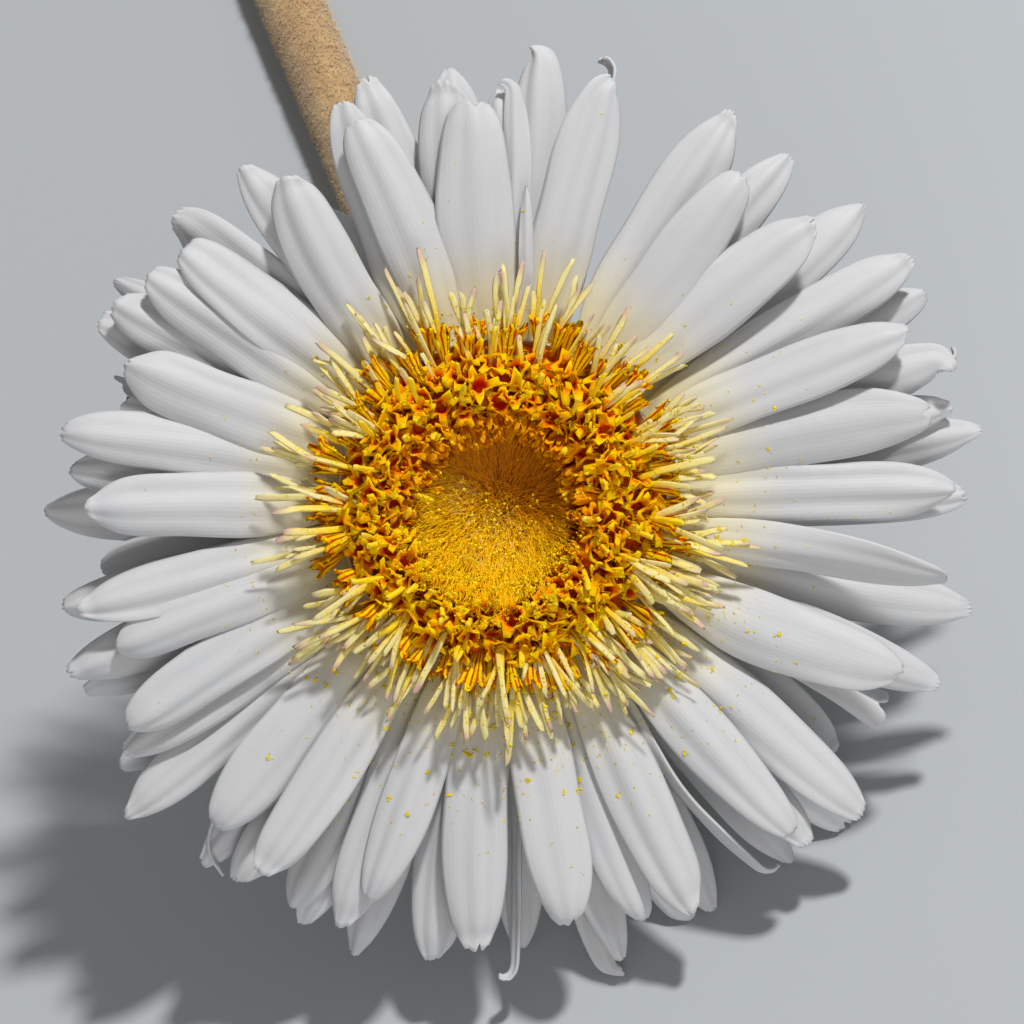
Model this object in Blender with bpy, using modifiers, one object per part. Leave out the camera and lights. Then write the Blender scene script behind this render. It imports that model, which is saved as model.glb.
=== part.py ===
"""A picked rock daisy flower, lying on a surface on its lowest ray tips and its stem.

Metres, +Z up. The head is modelled upright in its own frame: its face looks along +Z, and
clock angles run clockwise from +Y as seen from the front. One matrix then lays it down.
"""

import math
import random

import bmesh
import bpy
from mathutils import Matrix, Vector

MM = 0.001

# Driving dimensions of the head
RAY_ROOT_RADIUS = 12.6 * MM
RAY_WIDTH = 5.0 * MM
RAY_CLAW_WIDTH = 1.3 * MM
RAY_THICKNESS = 0.6 * MM
RAY_ARCH = 0.45 * MM
RAY_BOW = 1.5 * MM
RAY_TIP_ROUNDING = 0.7 * MM
RAY_STEPS = 4
DISC_RADIUS = 12.8 * MM
DISC_CREST_RADIUS = 9.0 * MM
BOWL_RADIUS = 6.3 * MM
INVOLUCRE_RADIUS = 14.2 * MM
INVOLUCRE_DEPTH = 16.0 * MM
STEM_RADIUS = 2.6 * MM
STEM_END_RADIUS = 2.9 * MM
FIT_GAP = 0.3 * MM

# How it lies: the face leans back by HEAD_TILT from straight up, over its lowest ray
HEAD_TILT = math.radians(38)
STEM_CLOCK = 337
HEAD_HEIGHT = 25.4 * MM
STEM_FLOOR_LENGTH = 66 * MM
STEM_FLAT = 0.18 * MM
TIP_CLEARANCE = 0.6 * MM

# Each ray's clock angle in degrees and reach from the head's centre in millimetres.
# A tier lies below the one before it.
RAY_TIERS = (
    ((48, 33.4), (67, 35.0), (113, 34.8), (139, 35.2), (155, 35.9), (171, 34.2), (213.3, 35.2),
     (250, 33.2), (269.5, 33.2), (290.3, 32.2), (309, 33.0), (326.3, 31.1), (339.5, 32.8), (355, 32.4)),
    ((14, 35.0), (36.5, 32.6), (77.5, 35.2), (88, 36.2), (99.5, 36.0), (130.5, 38.2), (184, 35.7),
     (198, 33.6), (221.5, 34.8), (240, 35.2), (256, 34.8), (279.5, 36.0), (302.5, 34.0)),
    ((0, 33.7), (39.5, 36.3), (58.8, 38.2), (71.8, 37.4), (138.3, 36.7), (162.5, 35.5), (201.5, 36.4),
     (237, 36.0), (249, 37.4), (274.5, 34.9), (297.5, 35.1), (322.5, 34.0), (338, 34.8), (351.5, 34.0)),
    ((18, 36.2), (30.5, 36.3), (78.8, 37.0), (89, 37.5), (104, 38.6), (113.3, 38.2), (133.5, 38.6),
     (146.5, 36.6), (153, 37.2), (166, 38.0), (177.5, 37.4), (189.5, 37.4), (207.5, 37.0), (215, 37.5),
     (231, 39.4), (256.5, 36.7), (294.5, 35.9), (311, 35.0), (342.5, 35.9)),
    ((4.8, 37.0), (50.5, 37.8), (63, 38.4), (73.5, 38.0), (82.5, 39.0), (118.5, 35.3), (126, 33.5),
     (142, 37.4), (157.5, 37.0), (167.5, 39.0), (198.5, 38.4), (205, 37.8), (219.5, 38.0), (235.3, 37.8),
     (246, 36.8), (262, 33.0), (269, 37.2), (286, 32.4), (300, 36.2), (328, 28.5), (353.5, 35.7)),
)
TIER_ROOT_HEIGHTS = (2.2 * MM, 1.85 * MM, 1.4 * MM, 0.95 * MM, 0.5 * MM)
TIER_TIP_HEIGHTS = (5.0 * MM, 3.8 * MM, 2.5 * MM, 1.0 * MM, -0.8 * MM)
RESTING_CLOCKS = (133.5, 142, 153, 157.5, 167.5, 177.5)

# Disc florets stand in rings from the bowl's lip to the rim: radius, lean outwards, how many, length
FLORET_RINGS = ((7.3, -20, 14, 4.3), (9.3, 5, 20, 4.6), (11.7, 42, 25, 5.2))
FLORET_STAR_RADIUS = 1.6 * MM
FLORET_WAIST = 0.5
FLORET_SUNK = 1.9 * MM

STYLE_COUNT = 44
STYLE_LENGTH = 7.2 * MM
STYLE_RADIUS = 0.4 * MM

BUD_COUNT = 36
BUD_RADIUS = 0.68 * MM
BUD_LENGTH = 2.4 * MM

BRACT_ROWS = 5
BRACTS_PER_ROW = 15
BRACT_LENGTH = 5.2 * MM
BRACT_WIDTH = 3.6 * MM
BRACT_THICKNESS = 2.2 * MM

GOLDEN_ANGLE = math.pi * (3 - math.sqrt(5))
RAY_SEED = 9338
DISC_SEED = 4
BUD_SEED = 3
CUP_SEED = 4


def clear_scene():
    """An empty scene, with one collection for the flower."""
    for obj in list(bpy.data.objects):
        bpy.data.objects.remove(obj)
    flower = bpy.data.collections.new("rock_daisy_flower")
    bpy.context.scene.collection.children.link(flower)
    return flower


def finish(name, rgb, roughness):
    """A plain Principled material."""
    made = bpy.data.materials.new(name)
    made.use_nodes = True
    shader = made.node_tree.nodes["Principled BSDF"]
    shader.inputs["Base Color"].default_value = (*rgb, 1)
    shader.inputs["Roughness"].default_value = roughness
    shader.inputs["Metallic"].default_value = 0
    return made


def clock_direction(clock):
    """The unit vector in the head's plane at a clock angle in degrees."""
    turn = math.radians(clock)
    return Vector((math.sin(turn), math.cos(turn), 0))


def lay_matrix():
    """From the head's frame to the world: the stem's clock angle turns to +Y, then the face tilts to -Y."""
    turn = Matrix.Rotation(math.radians(STEM_CLOCK), 4, "Z")
    tilt = Matrix.Rotation(HEAD_TILT, 4, "X")
    return Matrix.Translation((0, 0, HEAD_HEIGHT)) @ tilt @ turn


def new_object(name, mesh, collection):
    """An object that holds this mesh, linked to the collection."""
    obj = bpy.data.objects.new(name, mesh)
    collection.objects.link(obj)
    return obj


def mesh_from(shape, name):
    """A mesh made from a bmesh, which is freed."""
    mesh = bpy.data.meshes.new(name)
    shape.to_mesh(mesh)
    shape.free()
    return mesh


def applied(obj, name):
    """A new mesh with the object's modifiers applied."""
    bpy.context.view_layer.update()
    graph = bpy.context.evaluated_depsgraph_get()
    mesh = bpy.data.meshes.new_from_object(obj.evaluated_get(graph))
    mesh.name = name
    return mesh


def weld(mesh):
    """Joins points that lie together and turns every face outward."""
    shape = bmesh.new()
    shape.from_mesh(mesh)
    bmesh.ops.remove_doubles(shape, verts=shape.verts, dist=0.00001)
    bmesh.ops.recalc_face_normals(shape, faces=shape.faces)
    shape.to_mesh(mesh)
    shape.free()


def fuse(core, pieces, name):
    """The core with its repeats joined by one Boolean union, as a plain mesh."""
    repeats = bpy.data.collections.new(name + "_repeats")
    bpy.context.scene.collection.children.link(repeats)
    for piece in pieces:
        new_object(name + "_repeat", piece, repeats)
    union = core.modifiers.new("Union", "BOOLEAN")
    union.operation = "UNION"
    union.operand_type = "COLLECTION"
    union.collection = repeats
    union.solver = "MANIFOLD"
    core.data = applied(core, name)
    core.modifiers.clear()
    for obj in list(repeats.objects):
        bpy.data.objects.remove(obj)
    bpy.data.collections.remove(repeats)
    fill_hollows(core.data)
    return core


def fill_hollows(mesh):
    """Drops the inner skins of pockets shut in between repeats, which leaves the flower solid there."""
    shape = bmesh.new()
    shape.from_mesh(mesh)
    waiting = set(shape.faces)
    while waiting:
        shell = [waiting.pop()]
        for face in shell:
            for edge in face.edges:
                for other in edge.link_faces:
                    if other in waiting:
                        waiting.remove(other)
                        shell.append(other)
        volume = 0
        for face in shell:
            first, *rest = (vert.co for vert in face.verts)
            volume += sum(first.dot(a.cross(b)) for a, b in zip(rest, rest[1:])) / 6
        if volume < 0:
            bmesh.ops.delete(shape, geom=shell, context="FACES")
    shape.to_mesh(mesh)
    shape.free()


def turned(profile, steps, name, collection):
    """A solid turned about Z from (radius, height) points that run down its outer side."""
    mesh = bpy.data.meshes.new(name)
    points = [(radius, 0, height) for radius, height in profile]
    mesh.from_pydata(points, [(i, i + 1) for i in range(len(points) - 1)], [])
    obj = new_object(name, mesh, collection)
    screw = obj.modifiers.new("Screw", "SCREW")
    screw.steps = steps
    screw.render_steps = steps
    screw.use_merge_vertices = True
    screw.merge_threshold = 0.00001
    obj.data = applied(obj, name)
    obj.modifiers.clear()
    weld(obj.data)
    return obj


def arc_profile(points, samples):
    """A smooth line through (radius, height) points, by Catmull-Rom."""
    ends = [points[0], *points, points[-1]]
    line = []
    for i in range(1, len(ends) - 2):
        before, start, end, after = (Vector(p) for p in ends[i - 1:i + 3])
        for step in range(samples):
            t = step / samples
            line.append(0.5 * (2 * start + (end - before) * t
                               + (2 * before - 5 * start + 4 * end - after) * t * t
                               + (3 * start - before - 3 * end + after) * t ** 3))
    line.append(Vector(points[-1]))
    return [tuple(p) for p in line]


def smoothstep(t):
    """0 to 1 with level ends."""
    t = min(max(t, 0), 1)
    return t * t * (3 - 2 * t)


def ray_half_width(t):
    """Half a ray's width along its length: a narrow claw, a broad limb and a blunt tip."""
    claw = RAY_CLAW_WIDTH / 2
    limb = claw + (RAY_WIDTH / 2 - claw) * smoothstep(t / 0.5)
    taper = max(t - 0.62, 0) / 0.38
    return limb * math.sqrt(1 - 0.68 * taper ** 2.4)


def floor_height(direction, reach):
    """The height in the head's frame at which a point this far out meets the surface below."""
    down = -direction.dot(clock_direction(STEM_CLOCK)) * reach
    return -(HEAD_HEIGHT - down * math.sin(HEAD_TILT)) / math.cos(HEAD_TILT)


def ray_mesh(clock, reach, tier, draw):
    """One strap-shaped ray: an arched blade with a blunt tip, which bows up and then droops."""
    out = clock_direction(clock)
    side = clock_direction(clock + 90)
    sway = draw.uniform(-1.0, 1.0) * MM
    roll = draw.uniform(-0.10, 0.10)
    breadth = draw.uniform(0.86, 1.04)
    root_height = TIER_ROOT_HEIGHTS[tier]
    floor = floor_height(out, reach)
    tip_height = max(TIER_TIP_HEIGHTS[tier], floor + TIP_CLEARANCE)
    rests = clock in RESTING_CLOCKS and tier >= 3
    if rests:
        tip_height = floor
    shape = bmesh.new()
    bmesh.ops.create_grid(shape, x_segments=RAY_STEPS, y_segments=2, size=1)
    for vert in shape.verts:
        t = 1 - (1 - (vert.co.x + 1) / 2) ** 1.25
        across = vert.co.y
        half = ray_half_width(t) * breadth
        middle = 1 - abs(across)
        along = RAY_ROOT_RADIUS + (reach - RAY_ROOT_RADIUS) * t
        if t > 0.99:
            along -= RAY_TIP_ROUNDING * (1 - middle)
        height = root_height + (tip_height - root_height) * t + RAY_BOW * 4 * t * (1 - t)
        height -= RAY_ARCH * (1 - middle) * smoothstep(t / 0.3)
        height += roll * across * half
        lateral = across * half + sway * t * t
        vert.co = out * along + side * lateral + Vector((0, 0, height))
    bmesh.ops.reverse_faces(shape, faces=shape.faces)
    bmesh.ops.triangulate(shape, faces=shape.faces)
    if rests:
        seat_on_floor(shape, reach)
    return thickened(shape, RAY_THICKNESS, "ray")


def seat_on_floor(shape, reach):
    """Bends an open blade until its lowest point lies on the surface."""
    lay = lay_matrix()
    lowest = min((lay @ vert.co).z for vert in shape.verts)
    for vert in shape.verts:
        share = (vert.co.to_2d().length - RAY_ROOT_RADIUS) / (reach - RAY_ROOT_RADIUS)
        vert.co.z -= lowest / math.cos(HEAD_TILT) * smoothstep(share / 0.9)


def thickened(shape, thickness, name):
    """A closed blade: the open sheet is its underside, so both faces are split alike."""
    sheet = new_object(name, mesh_from(shape, name), bpy.context.scene.collection)
    solidify = sheet.modifiers.new("Solidify", "SOLIDIFY")
    solidify.thickness = thickness
    solidify.offset = 1
    solidify.use_even_offset = False
    mesh = applied(sheet, name)
    bpy.data.objects.remove(sheet)
    return mesh


def ray_florets(collection):
    """All the white rays, in tiers, grown together at a low ring round the disc."""
    draw = random.Random(RAY_SEED)
    ring = turned([(12.2 * MM, 2.85 * MM), (13.4 * MM, 2.6 * MM), (13.4 * MM, 0.3 * MM),
                   (12.2 * MM, 0.2 * MM), (12.2 * MM, 2.85 * MM)], 40, "ray_florets", collection)
    rays = [ray_mesh(clock, reach * MM, tier, draw)
            for tier, places in enumerate(RAY_TIERS) for clock, reach in places]
    return fuse(ring, rays, "ray_florets")


def disc_height(radius):
    """The top of the mound that the disc florets stand on, over the ray ring."""
    crest = 4.6 * MM
    if radius < DISC_CREST_RADIUS:
        return crest - 2.6 * MM * (1 - radius / DISC_CREST_RADIUS) ** 1.4
    fall = (radius - DISC_CREST_RADIUS) / (DISC_RADIUS - DISC_CREST_RADIUS)
    return crest - 1.0 * MM * fall ** 2


def star_mesh(place, axis, spin, length, radius):
    """A disc floret: a tube that flares to a five-pointed star with a hollow throat."""
    shape = bmesh.new()
    made = bmesh.ops.create_cone(shape, cap_ends=True, segments=10, radius1=0, radius2=radius, depth=length)
    top = [vert for vert in made["verts"] if vert.co.z > 0]
    for vert in top:
        lobe = round(math.atan2(vert.co.y, vert.co.x) / (math.pi / 5)) % 2
        vert.co.x *= 1 - FLORET_WAIST * lobe
        vert.co.y *= 1 - FLORET_WAIST * lobe
        vert.co.z -= 0.25 * MM * (1 - lobe)
    mouth = max(shape.faces, key=lambda face: face.calc_center_median().z)
    throat = bmesh.ops.poke(shape, faces=[mouth])["verts"][0]
    throat.co.z -= 0.9 * MM
    turn = Vector((0, 0, 1)).rotation_difference(axis).to_matrix().to_4x4()
    middle = Matrix.Translation(place + axis * (length / 2 - FLORET_SUNK))
    shape.transform(middle @ turn @ Matrix.Rotation(spin, 4, "Z"))
    bmesh.ops.triangulate(shape, faces=shape.faces)
    return mesh_from(shape, "floret")


def spindle_mesh(foot, axis, length, radius, sides, name):
    """A slim rod with a rounded-off tip: a style, a bud or a hair tuft, drawn with few sides."""
    shape = bmesh.new()
    bmesh.ops.create_cone(shape, cap_ends=True, segments=sides, radius1=radius,
                          radius2=radius * 0.55, depth=length)
    turn = Vector((0, 0, 1)).rotation_difference(axis).to_matrix().to_4x4()
    shape.transform(Matrix.Translation(foot + axis * length / 2) @ turn)
    bmesh.ops.triangulate(shape, faces=shape.faces)
    return mesh_from(shape, name)


def disc_florets(collection):
    """The ring of open yellow florets round the bowl, with pale styles standing out over the rays."""
    draw = random.Random(DISC_SEED)
    outer = [(DISC_RADIUS * share, disc_height(DISC_RADIUS * share)) for share in (0.6, 0.72, 0.86, 1)]
    mound = turned([(BOWL_RADIUS, disc_height(BOWL_RADIUS)), *outer, (DISC_RADIUS, 3.25 * MM),
                    (11.9 * MM, 3.25 * MM), (11.9 * MM, -0.7 * MM), (BOWL_RADIUS, -0.7 * MM),
                    (BOWL_RADIUS, disc_height(BOWL_RADIUS))], 36, "disc_florets", collection)
    pieces = []
    for radius_mm, lean, count, length_mm in FLORET_RINGS:
        for i in range(count):
            clock = 360 * (i + draw.uniform(-0.18, 0.18)) / count + radius_mm * 40
            radius = (radius_mm + draw.uniform(-0.2, 0.2)) * MM
            out = clock_direction(clock)
            lean_now = math.radians(lean + draw.uniform(-7, 7))
            axis = Vector((0, 0, 1)) * math.cos(lean_now) + out * math.sin(lean_now)
            foot_radius = min(radius, DISC_RADIUS - 0.4 * MM)
            place = out * foot_radius + Vector((0, 0, disc_height(foot_radius)))
            size = FLORET_STAR_RADIUS * draw.uniform(0.9, 1.1)
            pieces.append(star_mesh(place, axis, draw.uniform(0, math.tau), length_mm * MM, size))
    for i in range(STYLE_COUNT):
        clock = 360 * (i + draw.uniform(-0.35, 0.35)) / STYLE_COUNT
        lift = math.radians(draw.uniform(25, 36))
        out = clock_direction(clock)
        aim = clock_direction(clock + draw.uniform(-22, 22))
        axis = aim * math.cos(lift) + Vector((0, 0, math.sin(lift)))
        foot = out * 11.2 * MM + Vector((0, 0, 3.5 * MM))
        length = STYLE_LENGTH * draw.uniform(0.85, 1.15)
        pieces.append(spindle_mesh(foot, axis, length, STYLE_RADIUS, 4, "style"))
    return fuse(mound, pieces, "disc_florets")


def bud_centre(collection):
    """The unopened florets in the bowl, brown with hairs, which stand close like a brush."""
    draw = random.Random(BUD_SEED)
    edge = BOWL_RADIUS - FIT_GAP
    dome = turned([(0, 2.5 * MM), (edge * 0.5, 2.7 * MM), (edge, 3.3 * MM), (edge, -0.7 * MM), (0, -0.7 * MM)],
                  28, "bud_centre", collection)
    hairs = []
    for i in range(BUD_COUNT):
        radius = (edge - BUD_RADIUS * 1.15) * math.sqrt((i + 0.5) / BUD_COUNT)
        angle = i * GOLDEN_ANGLE
        foot = Vector((math.cos(angle) * radius, math.sin(angle) * radius, 1.8 * MM + radius * 0.12))
        lean = draw.uniform(-0.05, 0.05)
        axis = Vector((lean, -lean, 1)).normalized()
        hairs.append(spindle_mesh(foot, axis, BUD_LENGTH, BUD_RADIUS, 4, "bud"))
    return fuse(dome, hairs, "bud_centre")


def involucre_radius(height):
    """The cup's outer radius at a height below the rays, from the rim down to the stem."""
    down = min(max(-height / INVOLUCRE_DEPTH, 0), 1)
    return STEM_RADIUS + (INVOLUCRE_RADIUS - STEM_RADIUS) * (1 - down ** 2.6) ** 0.62


def involucre(collection):
    """The felted cup: a solid receptacle with rows of overlapping pointed bracts."""
    draw = random.Random(CUP_SEED)
    heights = [-0.4, -1.5, -3.2, -5.2, -7.4, -9.6, -11.6, -13.4, -14.8]
    side = [(involucre_radius(h * MM) - 0.6 * MM, h * MM) for h in heights]
    foot = (STEM_RADIUS, -INVOLUCRE_DEPTH)
    cup = turned([(11.9 * MM, -0.1 * MM), *side, foot, (0, -INVOLUCRE_DEPTH), (0, -1.0 * MM),
                  (11.9 * MM, -1.0 * MM), (11.9 * MM, -0.1 * MM)], 36, "involucre", collection)
    bracts = []
    for row in range(BRACT_ROWS):
        height = (-2.6 - 2.6 * row) * MM
        for i in range(BRACTS_PER_ROW - row):
            clock = 360 * (i + 0.5 * (row % 2) + draw.uniform(-0.1, 0.1)) / (BRACTS_PER_ROW - row)
            bracts.append(bract_mesh(clock, height + draw.uniform(-0.3, 0.3) * MM))
    return fuse(cup, bracts, "involucre")


def bract_mesh(clock, height):
    """A keeled, pointed bract that lies against the cup, with its tip a little free."""
    out = clock_direction(clock)
    radius = involucre_radius(height)
    below = involucre_radius(height - BRACT_LENGTH / 3)
    rise = Vector((radius - below, 0, BRACT_LENGTH / 3)).normalized()
    axis = (out * rise.x + Vector((0, 0, rise.z))).normalized()
    side = clock_direction(clock + 90)
    away = axis.cross(side).normalized()
    shape = bmesh.new()
    bmesh.ops.create_cone(shape, cap_ends=True, segments=4, radius1=1, radius2=0.3, depth=1)
    place = out * (radius - 0.7 * MM) + Vector((0, 0, height)) - axis * BRACT_LENGTH * 0.18
    size = Matrix.Diagonal((BRACT_WIDTH / 2, BRACT_THICKNESS / 2, BRACT_LENGTH, 1))
    frame = Matrix.Identity(4)
    for column, direction in enumerate((side, away, axis)):
        frame.col[column].xyz = direction
    frame.col[3].xyz = place
    shape.transform(frame @ size)
    bmesh.ops.triangulate(shape, faces=shape.faces)
    return mesh_from(shape, "bract")


def stem_points():
    """The stem's centre line in the world: out of the cup, round one bend and along the surface."""
    lay = lay_matrix()
    start = lay @ Vector((0, 0, -INVOLUCRE_DEPTH - FIT_GAP))
    away = -(lay.to_3x3() @ Vector((0, 0, 1)))
    heading = math.atan2(-away.z, away.y)
    lie = STEM_END_RADIUS - STEM_FLAT
    straight = 1.0 * MM
    bend_start = start + away * straight
    bend_radius = (bend_start.z - lie) / (1 - math.cos(heading))
    points = [start]
    steps = 10
    for i in range(steps + 1):
        turn = heading * (1 - i / steps)
        points.append(Vector((0, bend_start.y + bend_radius * (math.sin(heading) - math.sin(turn)),
                              lie + bend_radius * (1 - math.cos(turn)))))
    runs = 5
    for i in range(1, runs + 1):
        points.append(points[-1] + Vector((0, STEM_FLOOR_LENGTH / runs, 0)))
    return points


def stem(collection):
    """The stout felted stem, cut plainly at its far end, with a flat where it lies."""
    curve = bpy.data.curves.new("stem", "CURVE")
    curve.dimensions = "3D"
    curve.bevel_depth = STEM_END_RADIUS
    curve.bevel_resolution = 4
    curve.use_fill_caps = True
    points = stem_points()
    spline = curve.splines.new("POLY")
    spline.points.add(len(points) - 1)
    for i, (place, point) in enumerate(zip(points, spline.points)):
        point.co = (*place, 1)
        point.radius = (STEM_RADIUS + (STEM_END_RADIUS - STEM_RADIUS) * min(i / 11, 1)) / STEM_END_RADIUS
    drawn = new_object("stem_curve", curve, collection)
    mesh = applied(drawn, "stem")
    bpy.data.objects.remove(drawn)
    shape = bmesh.new()
    shape.from_mesh(mesh)
    bmesh.ops.remove_doubles(shape, verts=shape.verts, dist=0.00001)
    bmesh.ops.bisect_plane(shape, geom=[*shape.verts, *shape.edges, *shape.faces], dist=0.000001,
                           plane_co=(0, 0, 0), plane_no=(0, 0, 1), clear_inner=True)
    bmesh.ops.holes_fill(shape, edges=[edge for edge in shape.edges if edge.is_boundary])
    bmesh.ops.recalc_face_normals(shape, faces=shape.faces)
    bmesh.ops.triangulate(shape, faces=shape.faces)
    shape.to_mesh(mesh)
    shape.free()
    return new_object("stem", mesh, collection)


def centre_on_origin(objects, root):
    """Moves the flower so that the middle of its box's underside is the origin."""
    bpy.context.view_layer.update()
    corners = [obj.matrix_world @ vert.co for obj in objects for vert in obj.data.vertices]
    low = Vector(min(corner[axis] for corner in corners) for axis in range(3))
    high = Vector(max(corner[axis] for corner in corners) for axis in range(3))
    root.location = (-(low.x + high.x) / 2, -(low.y + high.y) / 2, -low.z)


def main():
    """Builds the flower, lays it down and centres it."""
    flower = clear_scene()
    root = new_object("flower", None, flower)
    head = new_object("head", None, flower)
    head.parent = root
    head.matrix_basis = lay_matrix()
    white = finish("white_ray", (0.86, 0.87, 0.88), 0.55)
    yellow = finish("yellow_floret", (0.86, 0.52, 0.02), 0.6)
    brown = finish("brown_bud", (0.42, 0.17, 0.03), 0.85)
    felt = finish("buff_felt", (0.55, 0.42, 0.27), 0.95)
    tan = finish("tan_felt_stem", (0.52, 0.33, 0.15), 0.95)
    parts = []
    for build, material in ((ray_florets, white), (disc_florets, yellow), (bud_centre, brown),
                            (involucre, felt)):
        obj = build(flower)
        obj.parent = head
        obj.data.materials.clear()
        obj.data.materials.append(material)
        parts.append(obj)
    lying_stem = stem(flower)
    lying_stem.parent = root
    lying_stem.data.materials.clear()
    lying_stem.data.materials.append(tan)
    parts.append(lying_stem)
    centre_on_origin(parts, root)


main()
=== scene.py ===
"""Looks of a picked rock daisy flower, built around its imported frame.

The head is modelled upright in its own frame, in metres: the face looks along +Z, and clock
angles run clockwise from +Y as seen from the front. ``Lie`` then lays it down as the frame has it.
"""

from __future__ import annotations

import logging
import math
import sys
from collections.abc import Callable, Sequence
from dataclasses import dataclass, field
from enum import Enum

import bpy
import numpy as np
from mathutils import Matrix, Vector
from mathutils.bvhtree import BVHTree

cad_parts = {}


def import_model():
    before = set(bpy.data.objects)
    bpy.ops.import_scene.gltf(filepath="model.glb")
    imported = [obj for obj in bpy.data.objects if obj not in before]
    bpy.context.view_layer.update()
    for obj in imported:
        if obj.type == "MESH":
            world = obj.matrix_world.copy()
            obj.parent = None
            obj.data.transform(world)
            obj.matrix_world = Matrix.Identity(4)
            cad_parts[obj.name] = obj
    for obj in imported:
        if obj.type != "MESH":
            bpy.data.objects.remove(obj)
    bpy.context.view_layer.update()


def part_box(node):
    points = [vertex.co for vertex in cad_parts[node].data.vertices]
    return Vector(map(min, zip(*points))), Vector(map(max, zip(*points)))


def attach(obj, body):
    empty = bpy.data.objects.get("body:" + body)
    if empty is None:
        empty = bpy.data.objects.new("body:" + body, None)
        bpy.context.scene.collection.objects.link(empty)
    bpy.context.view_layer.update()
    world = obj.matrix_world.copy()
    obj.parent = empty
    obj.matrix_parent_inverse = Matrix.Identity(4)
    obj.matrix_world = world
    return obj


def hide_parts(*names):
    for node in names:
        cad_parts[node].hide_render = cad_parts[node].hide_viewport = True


MM = 0.001
GOLDEN_ANGLE = math.pi * (3 - math.sqrt(5))
LOG = logging.getLogger("rock_daisy")


# Small tools

def linear(code: str) -> tuple[float, float, float, float]:
    """Turns an sRGB hex colour to linear.

    Args:
        code: The colour, as "#rrggbb".

    Returns:
        Red, green, blue and an alpha of one.
    """
    parts = (int(code[i:i + 2], 16) / 255 for i in (1, 3, 5))
    return (*(c / 12.92 if c <= 0.04045 else ((c + 0.055) / 1.055) ** 2.4 for c in parts), 1.0)


def add_node(tree: bpy.types.NodeTree, kind: str, sockets: dict | None = None, **settings) -> bpy.types.Node:
    """Adds a node with its settings, and sets or links its inputs.

    Args:
        tree: The node tree that it goes in.
        kind: The node's type name.
        sockets: Input name or number to a value, or to an output socket to link from.
        settings: The node's own properties.

    Returns:
        The node.
    """
    node = tree.nodes.new(kind)
    for name, value in settings.items():
        setattr(node, name, value)
    for key, value in (sockets or {}).items():
        if isinstance(value, bpy.types.NodeSocket):
            tree.links.new(value, node.inputs[key])
        else:
            node.inputs[key].default_value = value
    return node


def smoothstep(t: np.ndarray | float) -> np.ndarray:
    """0 to 1 with level ends."""
    t = np.clip(t, 0, 1)
    return t * t * (3 - 2 * t)


def clock_direction(clock: float) -> np.ndarray:
    """The unit vector in the head's plane at a clock angle in degrees."""
    turn = math.radians(clock)
    return np.array([math.sin(turn), math.cos(turn), 0.0])


def deselect() -> None:
    """Leaves nothing selected, so that an operator acts on the next primitive alone."""
    bpy.ops.object.select_all(action="DESELECT")


def pick(piece: bpy.types.Object, test: Callable[[Vector], bool]) -> None:
    """Selects some of a piece's points and leaves it in edit mode.

    Args:
        piece: The piece, which is the active object.
        test: Says of a point's place whether it is wanted.
    """
    if bpy.context.mode != "OBJECT":
        bpy.ops.object.mode_set(mode="OBJECT")
    mesh = piece.data
    mesh.polygons.foreach_set("select", [False] * len(mesh.polygons))
    mesh.edges.foreach_set("select", [False] * len(mesh.edges))
    for vert in mesh.vertices:
        vert.select = test(vert.co)
    bpy.ops.object.mode_set(mode="EDIT")
    bpy.ops.mesh.select_mode(type="VERT")


def done(piece: bpy.types.Object) -> bpy.types.Object:
    """Leaves edit mode with the piece as it is."""
    if bpy.context.mode != "OBJECT":
        bpy.ops.object.mode_set(mode="OBJECT")
    return piece


def subdivided(piece: bpy.types.Object, levels: int) -> bpy.types.Object:
    """Applies a Subdivision Surface of so many levels to the active piece."""
    modifier = done(piece).modifiers.new("Subdivision", "SUBSURF")
    modifier.levels = modifier.render_levels = levels
    bpy.ops.object.modifier_apply(modifier=modifier.name)
    return piece


# Casting repeats from one model

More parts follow.
